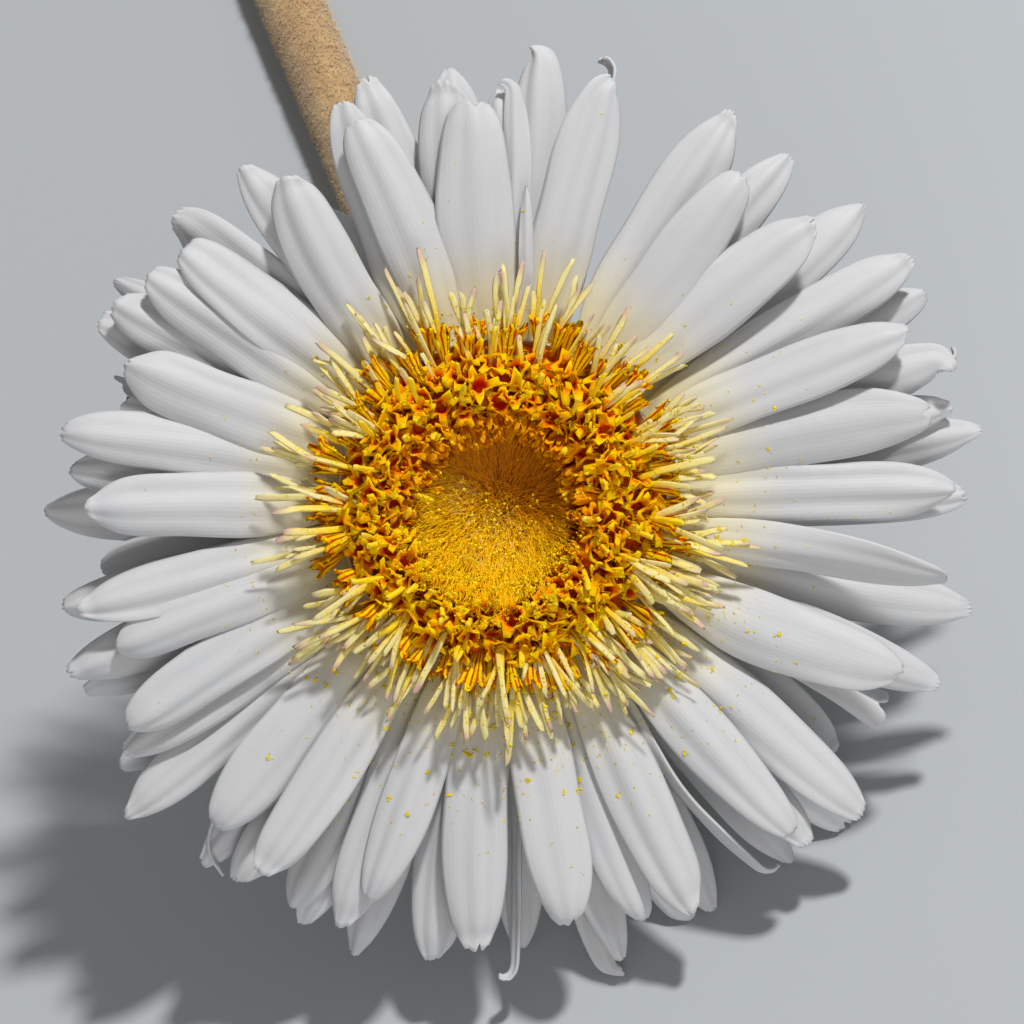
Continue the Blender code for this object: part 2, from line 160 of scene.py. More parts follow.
class Mould:
    """One modelled shape, kept to be cast many times into one mesh."""

    def __init__(self, model: bpy.types.Object) -> None:
        """Reads the shape from a modelled object, and removes the object.

        Args:
            model: The finished shape.
        """
        mesh = model.data
        self.points = np.empty(len(mesh.vertices) * 3)
        mesh.vertices.foreach_get("co", self.points)
        self.points = self.points.reshape(-1, 3)
        self.corners = np.empty(len(mesh.loops), np.int32)
        mesh.loops.foreach_get("vertex_index", self.corners)
        self.sides = np.empty(len(mesh.polygons), np.int32)
        mesh.polygons.foreach_get("loop_total", self.sides)
        self.uv = np.zeros((len(mesh.loops), 2))
        if mesh.uv_layers:
            flat = np.empty(len(mesh.loops) * 2)
            mesh.uv_layers[0].data.foreach_get("uv", flat)
            self.uv = flat.reshape(-1, 2)
        bpy.data.objects.remove(model)

    def wrap(self, around: np.ndarray, along: np.ndarray) -> None:
        """Sets the UV map from one pair of values a point, with no jump where a turn closes.

        Args:
            around: Each point's place round the shape, 0 to 1.
            along: Each point's second value.
        """
        first = np.repeat(np.cumsum(self.sides) - self.sides, self.sides)
        turn = around[self.corners]
        start = turn[first]
        turn = np.where(turn - start > 0.5, turn - 1, np.where(start - turn > 0.5, turn + 1, turn))
        self.uv = np.stack([turn, along[self.corners]], axis=1)

    def cast(self, name: str, copies: Sequence[np.ndarray], **values: Sequence[float]) -> bpy.types.Object:
        """Casts the shape once for each set of points, all into one mesh.

        Args:
            name: The new piece's name.
            copies: For each copy, the place of every point.
            values: Attributes to store, with one number a copy.

        Returns:
            The new piece, at the origin and smooth shaded.
        """
        count, size = len(copies), len(self.points)
        mesh = bpy.data.meshes.new(name)
        mesh.vertices.add(count * size)
        mesh.vertices.foreach_set("co", np.concatenate(copies).ravel())
        shift = np.arange(count, dtype=np.int32)[:, None]
        mesh.loops.add(count * len(self.corners))
        mesh.loops.foreach_set("vertex_index", (self.corners[None, :] + shift * size).ravel())
        mesh.polygons.add(count * len(self.sides))
        starts = np.cumsum(self.sides) - self.sides
        mesh.polygons.foreach_set("loop_start", (starts[None, :] + shift * len(self.corners)).ravel())
        mesh.polygons.foreach_set("use_smooth", np.ones(count * len(self.sides), bool))
        layer = mesh.uv_layers.new(name="UVMap")
        layer.data.foreach_set("uv", np.tile(self.uv, (count, 1)).ravel())
        for key, numbers in values.items():
            store = mesh.attributes.new(key, "FLOAT", "POINT")
            store.data.foreach_set("value", np.repeat(np.asarray(numbers, float), size))
        mesh.update(calc_edges=True)
        mesh.validate()
        piece = bpy.data.objects.new(name, mesh)
        bpy.context.scene.collection.objects.link(piece)
        return piece


@dataclass
class Ribbon:
    """A centre line with a facing, which a flat shape is laid along."""

    points: np.ndarray
    facing: np.ndarray
    roll: np.ndarray | float = 0.0

    def __post_init__(self) -> None:
        """Works out the line's frames: its way on, its side and its normal."""
        way = np.gradient(self.points, axis=0)
        self.way = way / np.linalg.norm(way, axis=1, keepdims=True)
        side = np.cross(self.facing, self.way)
        side /= np.linalg.norm(side, axis=1, keepdims=True)
        normal = np.cross(self.way, side)
        turn = np.broadcast_to(self.roll, len(self.points))[:, None]
        self.side = side * np.cos(turn) + normal * np.sin(turn)
        self.normal = normal * np.cos(turn) - side * np.sin(turn)
        self.length = float(np.linalg.norm(np.diff(self.points, axis=0), axis=1).sum())

    def curled(self, start: float, down: float, sideways: float) -> Ribbon:
        """Bends the end of the line and keeps its length.

        Args:
            start: Where the bend starts, 0 to 1 along the line.
            down: How far the end turns away from the facing, in radians.
            sideways: How far the end turns to its left, in radians.

        Returns:
            The bent line.
        """
        t = np.linspace(0, 1, len(self.points))
        whole = max(math.hypot(down, sideways), 1e-6)
        bend = np.clip((t - start) / (1 - start), 0, 1)[:, None] ** 1.3 * whole
        aside = (self.side * sideways - self.normal * down) / whole
        heading = self.way * np.cos(bend) + aside * np.sin(bend)
        steps = np.linalg.norm(np.diff(self.points, axis=0), axis=1)[:, None]
        moved = np.cumsum((heading[1:] + heading[:-1]) / 2 * steps, axis=0)
        points = np.vstack([self.points[:1], self.points[:1] + moved])
        bent = Ribbon(points, self.facing, self.roll)
        turned_aside = aside * np.cos(bend) - self.way * np.sin(bend)
        upright = self.normal - (turned_aside - aside) * down / whole
        bent.normal = upright / np.linalg.norm(upright, axis=1, keepdims=True)
        bent.side = np.cross(bent.normal, bent.way)
        return bent

    def lay(self, t: np.ndarray, across: np.ndarray, rise: np.ndarray) -> np.ndarray:
        """Places points along the line.

        Args:
            t: How far along, 0 to 1. Past either end they go straight on.
            across: How far to the left of the line.
            rise: How far above it.

        Returns:
            The places, one row each.
        """
        grid = np.linspace(0, 1, len(self.points))
        at = [np.stack([np.interp(t, grid, table[:, i]) for i in range(3)], axis=1)
              for table in (self.points, self.way, self.side, self.normal)]
        beyond = (t - np.clip(t, 0, 1))[:, None] * self.length
        return at[0] + at[1] * beyond + at[2] * across[:, None] + at[3] * rise[:, None]


# How the flower lies

@dataclass(frozen=True)
class Lie:
    """Where the frame has the flower: its head leans back over its lowest rays and its stem."""

    tilt: float = math.radians(38)
    stem_clock: float = 337
    head_height: float = 25.4 * MM
    cup_depth: float = 16.0 * MM
    gap: float = 0.3 * MM
    stem_radius: float = 2.6 * MM
    stem_end_radius: float = 2.9 * MM
    stem_flat: float = 0.18 * MM
    stem_floor_length: float = 66 * MM

    def turn(self) -> Matrix:
        """The head's turn, with no shift."""
        return Matrix.Rotation(self.tilt, 4, "X") @ Matrix.Rotation(math.radians(self.stem_clock), 4, "Z")

    def stem_line(self) -> np.ndarray:
        """The stem's centre line with the head's centre over the origin, as the frame's stem has it."""
        away = -(self.turn().to_3x3() @ Vector((0, 0, 1)))
        start = Vector((0, 0, self.head_height)) + away * (self.cup_depth + self.gap)
        heading = math.atan2(-away.z, away.y)
        lie = self.stem_end_radius - self.stem_flat
        bend_start = start + away * MM
        radius = (bend_start.z - lie) / (1 - math.cos(heading))
        points = [tuple(start)]
        for i in range(41):
            turn = heading * (1 - i / 40)
            points.append((0, bend_start.y + radius * (math.sin(heading) - math.sin(turn)),
                           lie + radius * (1 - math.cos(turn))))
        end = points[-1]
        points += [(0, end[1] + self.stem_floor_length * i / 60, lie) for i in range(1, 61)]
        return np.array(points)

    def shift(self) -> Vector:
        """How far the frame has moved the flower to stand it on its origin, read from its stem."""
        low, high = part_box("stem")
        return Vector(((low[0] + high[0]) / 2, high[1] - self.stem_line()[-1][1], 0))

    def matrix(self) -> Matrix:
        """From the head's frame to the world."""
        return Matrix.Translation(self.shift() + Vector((0, 0, self.head_height))) @ self.turn()

    def settle(self, piece: bpy.types.Object) -> bpy.types.Object:
        """Moves a piece's mesh from the head's frame to its place in the world."""
        piece.data.transform(self.matrix())
        piece.data.update()
        return piece

    def heights(self, points: np.ndarray) -> np.ndarray:
        """How high above the surface each of these points of the head's frame lies."""
        row = np.array(self.matrix())[2]
        return points @ row[:3] + row[3]


# Finishes

@dataclass(frozen=True)
class Finish:
    """What every finish shares: its name and its main colour."""

    name: str
    colour: str
    gloss: float = field(default=0.15, kw_only=True)

    def start(self) -> tuple[bpy.types.Material, bpy.types.NodeTree, bpy.types.Node]:
        """Makes the material with its shader alone.

        Returns:
            The material, its node tree and its Principled shader.
        """
        material = bpy.data.materials.new(self.name)
        material.use_nodes = True
        tree = material.node_tree
        shader = tree.nodes["Principled BSDF"]
        shader.inputs["Base Color"].default_value = linear(self.colour)
        shader.inputs["Specular IOR Level"].default_value = self.gloss
        return material, tree, shader


@dataclass(frozen=True)
class PetalFinish(Finish):
    """Fresh ray floret: living tissue full of air, so it is a soft matt white that light sinks into.

    Its foot is cream, and fine veins run its whole length.
    """

    shade: str = "#bfc1c6"
    foot: str = "#e8dcae"
    veins: float = 16

    def make(self) -> bpy.types.Material:
        """Makes the material."""
        material, tree, shader = self.start()
        uv = add_node(tree, "ShaderNodeUVMap", uv_map="UVMap")
        split = add_node(tree, "ShaderNodeSeparateXYZ", {0: uv.outputs[0]})
        place = add_node(tree, "ShaderNodeTexCoord")
        # Veins stand about 0.3 mm apart, and waver a little
        stretch = add_node(tree, "ShaderNodeMapping", {0: uv.outputs[0], "Scale": (6, self.veins, 1)})
        waver = add_node(tree, "ShaderNodeTexNoise", {"Vector": stretch.outputs[0], "Scale": 1.0, "Detail": 2.0})
        lines = add_node(tree, "ShaderNodeTexWave", {"Vector": stretch.outputs[0], "Scale": 0.32,
                                                    "Distortion": 3.2, "Detail": 1.0, "Detail Scale": 0.6},
                         bands_direction="Y")
        # Cloudy tone, 2 mm and up, that keeps the white from being one flat colour
        cloud = add_node(tree, "ShaderNodeTexNoise", {"Vector": place.outputs["Object"], "Scale": 260.0,
                                                     "Detail": 3.0})
        drawn = add_node(tree, "ShaderNodeMath", {0: lines.outputs["Fac"], 1: 0.06, 2: waver.outputs["Fac"]},
                         operation="MULTIPLY_ADD")
        tone = add_node(tree, "ShaderNodeMath", {0: drawn.outputs[0], 1: cloud.outputs["Fac"]},
                        operation="MULTIPLY")
        white = add_node(tree, "ShaderNodeMix", {0: tone.outputs[0], 6: linear(self.colour),
                                                7: linear(self.shade)}, data_type="RGBA")
        reach = add_node(tree, "ShaderNodeMapRange", {0: split.outputs[0], 1: 0.04, 2: 0.42, 3: 0.95, 4: 0.0},
                         interpolation_type="SMOOTHSTEP")
        whole = add_node(tree, "ShaderNodeMix", {0: reach.outputs[0], 6: white.outputs[2],
                                                7: linear(self.foot)}, data_type="RGBA")
        tree.links.new(whole.outputs[2], shader.inputs["Base Color"])
        height = add_node(tree, "ShaderNodeMath", {0: lines.outputs["Fac"], 1: waver.outputs["Fac"]},
                          operation="ADD")
        bump = add_node(tree, "ShaderNodeBump", {"Strength": 0.1, "Distance": 0.00005,
                                                "Height": height.outputs[0]})
        tree.links.new(bump.outputs[0], shader.inputs["Normal"])
        shader.inputs["Roughness"].default_value = 0.52
        shader.inputs["Subsurface Weight"].default_value = 0.2
        shader.inputs["Subsurface Radius"].default_value = (1.0, 0.9, 0.85)
        shader.inputs["Subsurface Scale"].default_value = 0.0009
        shader.inputs["Sheen Weight"].default_value = 0.06
        return material


@dataclass(frozen=True)
class FloretFinish(Finish):
    """Fresh disc floret: waxy golden tissue, red-brown deep in its throat and in streaks down its tube.

    The map's first value runs round the floret, its second from the tube's foot (0) over the
    lobes' tips (0.6) to the throat's bottom (1). The attribute ring is 0 at the bowl and 1 at the rim.
    """

    # Painted shade: the orange that each floret's recesses are coloured with
    painted_shade_orange: str = "#ff9a00"
    throat: str = "#dc4400"
    streak: str = "#b43400"

    def make(self) -> bpy.types.Material:
        """Makes the material."""
        material, tree, shader = self.start()
        uv = add_node(tree, "ShaderNodeUVMap", uv_map="UVMap")
        split = add_node(tree, "ShaderNodeSeparateXYZ", {0: uv.outputs[0]})
        ring = add_node(tree, "ShaderNodeAttribute", attribute_name="ring")
        own = add_node(tree, "ShaderNodeAttribute", attribute_name="own")
        place = add_node(tree, "ShaderNodeTexCoord")
        ripe = add_node(tree, "ShaderNodeMapRange", {0: ring.outputs["Fac"], 1: -0.1, 2: 0.5},
                        interpolation_type="SMOOTHSTEP")
        outermost = add_node(tree, "ShaderNodeMapRange", {0: ring.outputs["Fac"], 1: 1.0, 2: 1.04, 3: 0.0, 4: 0.12})
        # Painted shade: each lobe is golden at its tip and orange at its foot, and so is the tube, orange low down, as
        # the warm shade in these recesses, but for the outermost
        foot = add_node(tree, "ShaderNodeMapRange", {0: split.outputs[1], 1: 0.6, 2: 0.65, 3: 1.0, 4: 0.1})
        high = add_node(tree, "ShaderNodeMath", {0: outermost.outputs[0], 1: 4.0, 2: split.outputs[1]},
                        operation="MULTIPLY_ADD")
        wall = add_node(tree, "ShaderNodeMapRange", {0: high.outputs[0], 1: 0.3, 2: 0.56, 3: 0.15, 4: 1.0})
        unshaded_share = add_node(tree, "ShaderNodeMath", {0: wall.outputs[0], 1: foot.outputs[0]}, operation="MULTIPLY")
        golden = add_node(tree, "ShaderNodeMath", {0: ripe.outputs[0], 1: unshaded_share.outputs[0]}, operation="MULTIPLY")
        gold = add_node(tree, "ShaderNodeMix", {0: golden.outputs[0], 6: linear(self.painted_shade_orange),
                                               7: linear(self.colour)}, data_type="RGBA")
        varied = add_node(tree, "ShaderNodeMapRange", {0: own.outputs["Fac"], 3: 0.84, 4: 1.08})
        toned = add_node(tree, "ShaderNodeHueSaturation", {"Value": varied.outputs[0], "Color": gold.outputs[2]})
        grain = add_node(tree, "ShaderNodeTexNoise", {"Vector": place.outputs["Object"], "Scale": 2600.0,
                                                     "Detail": 2.0})
        # Ten streaks a floret, each about 0.15 mm wide, only on the tube
        stripe = add_node(tree, "ShaderNodeMath", {0: split.outputs[0], 1: math.tau * 10}, operation="MULTIPLY")
        wave = add_node(tree, "ShaderNodeMath", {0: stripe.outputs[0]}, operation="SINE")
        # On the outermost florets they run on up the lobes
        up = add_node(tree, "ShaderNodeMath", {0: split.outputs[1], 1: outermost.outputs[0]}, operation="SUBTRACT")
        on_tube = add_node(tree, "ShaderNodeMapRange", {0: up.outputs[0], 1: 0.5, 2: 0.61, 3: 0.95, 4: 0.0},
                           interpolation_type="SMOOTHSTEP")
        lined = add_node(tree, "ShaderNodeMapRange", {0: wave.outputs[0], 1: 0.1, 2: 0.65})
        outer = add_node(tree, "ShaderNodeMapRange", {0: ring.outputs["Fac"], 1: 0.3, 2: 0.85, 3: 0.3, 4: 1.0})
        streaked = add_node(tree, "ShaderNodeMath", {0: lined.outputs[0], 1: on_tube.outputs[0]},
                            operation="MULTIPLY")
        streaks = add_node(tree, "ShaderNodeMath", {0: streaked.outputs[0], 1: outer.outputs[0]},
                           operation="MULTIPLY")
        tube = add_node(tree, "ShaderNodeMix", {0: streaks.outputs[0], 6: toned.outputs[0],
                                               7: linear(self.streak)}, data_type="RGBA")
        deep = add_node(tree, "ShaderNodeMapRange", {0: split.outputs[1], 1: 0.65, 2: 0.84},
                        interpolation_type="SMOOTHSTEP")
        whole = add_node(tree, "ShaderNodeMix", {0: deep.outputs[0], 6: tube.outputs[2],
                                                7: linear(self.throat)}, data_type="RGBA")
        tree.links.new(whole.outputs[2], shader.inputs["Base Color"])
        bump = add_node(tree, "ShaderNodeBump", {"Strength": 0.4, "Distance": 0.00008,
                                                "Height": grain.outputs["Fac"]})
        tree.links.new(bump.outputs[0], shader.inputs["Normal"])
        shader.inputs["Roughness"].default_value = 0.55
        shader.inputs["Subsurface Weight"].default_value = 0.5
        shader.inputs["Subsurface Radius"].default_value = (1.0, 0.7, 0.15)
        shader.inputs["Subsurface Scale"].default_value = 0.0005
        return material


@dataclass(frozen=True)
class StrapFinish(Finish):
    """Fresh style branch: a soft pale strap, yellow at its foot and often flushed pink at its tip.

    The map's first value runs from foot to tip. The attribute blush is 0 for plain and 1 for pink tips,
    and ring is 0 for the yellow ones among the florets and 1 for the palest.
    """

    foot: str = "#ffd21e"
    flush: str = "#c99a9c"
    dust: str = "#f4cc00"

    def make(self) -> bpy.types.Material:
        """Makes the material."""
        material, tree, shader = self.start()
        uv = add_node(tree, "ShaderNodeUVMap", uv_map="UVMap")
        split = add_node(tree, "ShaderNodeSeparateXYZ", {0: uv.outputs[0]})
        blush = add_node(tree, "ShaderNodeAttribute", attribute_name="blush")
        ring = add_node(tree, "ShaderNodeAttribute", attribute_name="ring")
        place = add_node(tree, "ShaderNodeTexCoord")
        grain = add_node(tree, "ShaderNodeTexNoise", {"Vector": place.outputs["Object"], "Scale": 1500.0,
                                                     "Detail": 2.0})
        along = add_node(tree, "ShaderNodeMath", {0: split.outputs[0], 1: ring.outputs["Fac"]}, operation="ADD")
        pale = add_node(tree, "ShaderNodeMapRange", {0: along.outputs[0], 1: 0.35, 2: 1.25},
                        interpolation_type="SMOOTHSTEP")
        body = add_node(tree, "ShaderNodeMix", {0: pale.outputs[0], 6: linear(self.foot),
                                               7: linear(self.colour)}, data_type="RGBA")
        tip = add_node(tree, "ShaderNodeMapRange", {0: split.outputs[0], 1: 0.8, 2: 0.97},
                       interpolation_type="SMOOTHSTEP")
        pink = add_node(tree, "ShaderNodeMath", {0: tip.outputs[0], 1: blush.outputs["Fac"]}, operation="MULTIPLY")
        whole = add_node(tree, "ShaderNodeMix", {0: pink.outputs[0], 6: body.outputs[2],
                                                7: linear(self.flush)}, data_type="RGBA")
        # Pollen clings in specks about 0.3 mm across, most of them near the foot
        specks = add_node(tree, "ShaderNodeTexNoise", {"Vector": place.outputs["Object"], "Scale": 4200.0,
                                                      "Detail": 2.0})
        near = add_node(tree, "ShaderNodeMapRange", {0: split.outputs[0], 1: 0.2, 2: 1.0, 3: 0.1, 4: -0.04})
        caught = add_node(tree, "ShaderNodeMath", {0: specks.outputs["Fac"], 1: near.outputs[0]}, operation="ADD")
        dusty = add_node(tree, "ShaderNodeMapRange", {0: caught.outputs[0], 1: 0.6, 2: 0.66, 3: 0.0, 4: 0.8})
        dusted = add_node(tree, "ShaderNodeMix", {0: dusty.outputs[0], 6: whole.outputs[2],
                                                 7: linear(self.dust)}, data_type="RGBA")
        tree.links.new(dusted.outputs[2], shader.inputs["Base Color"])
        bump = add_node(tree, "ShaderNodeBump", {"Strength": 0.5, "Distance": 0.00008,
                                                "Height": grain.outputs["Fac"]})
        tree.links.new(bump.outputs[0], shader.inputs["Normal"])
        shader.inputs["Roughness"].default_value = 0.6
        shader.inputs["Subsurface Weight"].default_value = 0.35
        shader.inputs["Subsurface Radius"].default_value = (1.0, 0.9, 0.6)
        shader.inputs["Subsurface Scale"].default_value = 0.0004
        return material


@dataclass(frozen=True)
class HairFinish(Finish):
    """Dry plant hair: each hair goes from its dark foot to a paler tip.

    The attribute pale says how light its tip is, a painted highlight that stands in for glints; gold how far
    it turns golden, partly with pollen and partly as painted light on the bowl's lower side; and own its tone.
    """

    tip: str = "#ffa010"
    # Painted highlight: light is the colour of the pale tips that stand in for glints
    light: str = "#f6dc98"
    pollen: str = "#ffc80a"

    def make(self) -> bpy.types.Material:
        """Makes the material."""
        material, tree, shader = self.start()
        uv = add_node(tree, "ShaderNodeUVMap", uv_map="UVMap")
        split = add_node(tree, "ShaderNodeSeparateXYZ", {0: uv.outputs[0]})
        pale = add_node(tree, "ShaderNodeAttribute", attribute_name="pale")
        body = add_node(tree, "ShaderNodeMix", {0: split.outputs[0], 6: linear(self.colour),
                                               7: linear(self.tip)}, data_type="RGBA")
        own = add_node(tree, "ShaderNodeAttribute", attribute_name="own")
        varied = add_node(tree, "ShaderNodeMapRange", {0: own.outputs["Fac"], 3: 0.5, 4: 1.2})
        toned = add_node(tree, "ShaderNodeHueSaturation", {"Value": varied.outputs[0], "Color": body.outputs[2]})
        # Gold is partly pollen and partly painted light, strongest on the bowl's lower side
        gold = add_node(tree, "ShaderNodeAttribute", attribute_name="gold")
        dusted = add_node(tree, "ShaderNodeMix", {0: gold.outputs["Fac"], 6: toned.outputs[0],
                                                 7: linear(self.pollen)}, data_type="RGBA")
        # Painted highlight: pale tips, standing in for glints
        lit = add_node(tree, "ShaderNodeMath", {0: pale.outputs["Fac"], 1: split.outputs[0]}, operation="MULTIPLY")
        whole = add_node(tree, "ShaderNodeMix", {0: lit.outputs[0], 6: dusted.outputs[2],
                                                7: linear(self.light)}, data_type="RGBA")
        tree.links.new(whole.outputs[2], shader.inputs["Base Color"])
        shader.inputs["Roughness"].default_value = 0.6
        return material


@dataclass(frozen=True)
class FeltFinish(Finish):
    """Plant felt: a close mat of fine hairs over the skin, which reads as soft, matt and a little mottled.

    The fibres are drawn about 0.15 mm wide, coarser than life, so that they show.
    """

    dark: str = "#8d6a41"
    mottle: float = 320.0
    sheen: float = 0.5

    def make(self) -> bpy.types.Material:
        """Makes the material."""
        material, tree, shader = self.start()
        place = add_node(tree, "ShaderNodeTexCoord")
        patches = add_node(tree, "ShaderNodeTexNoise", {"Vector": place.outputs["Object"], "Scale": self.mottle,
                                                       "Detail": 4.0, "Roughness": 0.6})
        fibres = add_node(tree, "ShaderNodeTexNoise", {"Vector": place.outputs["Object"], "Scale": 3200.0,
                                                      "Detail": 3.0, "Distortion": 1.5})
        both = add_node(tree, "ShaderNodeMath", {0: patches.outputs["Fac"], 1: fibres.outputs["Fac"]},
                        operation="MULTIPLY")
        share = add_node(tree, "ShaderNodeMapRange", {0: both.outputs[0], 1: 0.12, 2: 0.42})
        whole = add_node(tree, "ShaderNodeMix", {0: share.outputs[0], 6: linear(self.dark),
                                                7: linear(self.colour)}, data_type="RGBA")
        tree.links.new(self.tinted(tree, whole.outputs[2]), shader.inputs["Base Color"])
        bump = add_node(tree, "ShaderNodeBump", {"Strength": 0.8, "Distance": 0.00018,
                                                "Height": fibres.outputs["Fac"]})
        tree.links.new(bump.outputs[0], shader.inputs["Normal"])
        shader.inputs["Roughness"].default_value = 0.95
        shader.inputs["Sheen Weight"].default_value = self.sheen
        shader.inputs["Sheen Roughness"].default_value = 0.5
        return material

    def tinted(self, tree: bpy.types.NodeTree, colour: bpy.types.NodeSocket) -> bpy.types.NodeSocket:
        """Adds what colours this felt beyond its mottle.

        Args:
            tree: The material's node tree, which a plain felt does not use.
            colour: The mottled colour.

        Returns:
            The colour to use.
        """
        return colour


@dataclass(frozen=True)
class BractFinish(FeltFinish):
    """Felt on a bract: worn thin and brown at its point, and a little lighter or darker from one to the next.

    The map's first value runs along the bract, and the attribute own is its own tone, 0 to 1.
    """

    tip: str = "#6a4430"

    def tinted(self, tree: bpy.types.NodeTree, colour: bpy.types.NodeSocket) -> bpy.types.NodeSocket:
        """Browns the point and varies the tone, as ``FeltFinish.tinted`` does nothing of."""
        uv = add_node(tree, "ShaderNodeUVMap", uv_map="UVMap")
        split = add_node(tree, "ShaderNodeSeparateXYZ", {0: uv.outputs[0]})
        own = add_node(tree, "ShaderNodeAttribute", attribute_name="own")
        varied = add_node(tree, "ShaderNodeMapRange", {0: own.outputs["Fac"], 3: 0.8, 4: 1.12})
        toned = add_node(tree, "ShaderNodeHueSaturation", {"Value": varied.outputs[0], "Color": colour})
        point = add_node(tree, "ShaderNodeMapRange", {0: split.outputs[0], 1: 0.84, 2: 1.0, 3: 0.0, 4: 0.85},
                         interpolation_type="SMOOTHSTEP")
        return add_node(tree, "ShaderNodeMix", {0: point.outputs[0], 6: toned.outputs[0],
                                               7: linear(self.tip)}, data_type="RGBA").outputs[2]


@dataclass(frozen=True)
class FuzzFinish(Finish):
    """The loose hairs of a felt: dry, matt and paler than the felt itself."""

    def make(self) -> bpy.types.Material:
        """Makes the material."""
        material, _, shader = self.start()
        shader.inputs["Roughness"].default_value = 0.95
        shader.inputs["Sheen Weight"].default_value = 0.3
        return material


@dataclass(frozen=True)
class GrainFinish(Finish):
    """Pollen: dry, waxy, deep golden grains, a few stuck together, with no gloss."""

    def make(self) -> bpy.types.Material:
        """Makes the material."""
        material, tree, shader = self.start()
        own = add_node(tree, "ShaderNodeAttribute", attribute_name="own")
        varied = add_node(tree, "ShaderNodeMapRange", {0: own.outputs["Fac"], 3: 0.7, 4: 1.1})
        toned = add_node(tree, "ShaderNodeHueSaturation", {"Value": varied.outputs[0],
                                                          "Color": linear(self.colour)})
        tree.links.new(toned.outputs[0], shader.inputs["Base Color"])
        shader.inputs["Roughness"].default_value = 0.8
        return material


# The white rays

class Tip(Enum):
    """How a ray ends: for each place across it, how far that stands back, as a share of its length."""

    TOOTHED = ((0.0, -0.008), (0.2, 0.03), (0.4, -0.006), (0.6, 0.034), (0.8, 0.004), (1.0, 0.04))
    NOTCHED = ((0.0, 0.055), (0.2, 0.02), (0.4, -0.004), (0.6, 0.012), (0.8, 0.004), (1.0, 0.04))
    BLUNT = ((0.0, 0.012), (0.2, -0.008), (0.4, 0.016), (0.6, -0.002), (0.8, 0.03), (1.0, 0.04))
    HEARTED = ((0.0, 0.036), (0.2, 0.0), (0.4, -0.006), (0.6, 0.032), (0.8, 0.0), (1.0, 0.036))
    FRAYED = ((0.0, 0.12), (0.2, 0.1), (0.4, 0.04), (0.6, 0.06), (0.8, -0.01), (1.0, 0.03))


@dataclass(frozen=True)
class Ray:
    """One white ray. Angles are in degrees and sizes in millimetres.

    Its tip's clock angle and reach, its width, how much further clockwise its middle lies, how it
    ends, how far it is turned about its length, how far its tip bends down and clockwise, its arch,
    how wide its tip is as a share of its width, and where along it the bend starts.
    """

    clock: float
    reach: float
    width: float = 5.0
    middle: float = 0.0
    end: Tip = Tip.TOOTHED
    roll: float = 0.0
    curl: float = 30.0
    hook: float = 0.0
    arch: float = 34.0
    tip: float = 0.3
    bend: float = 0.86


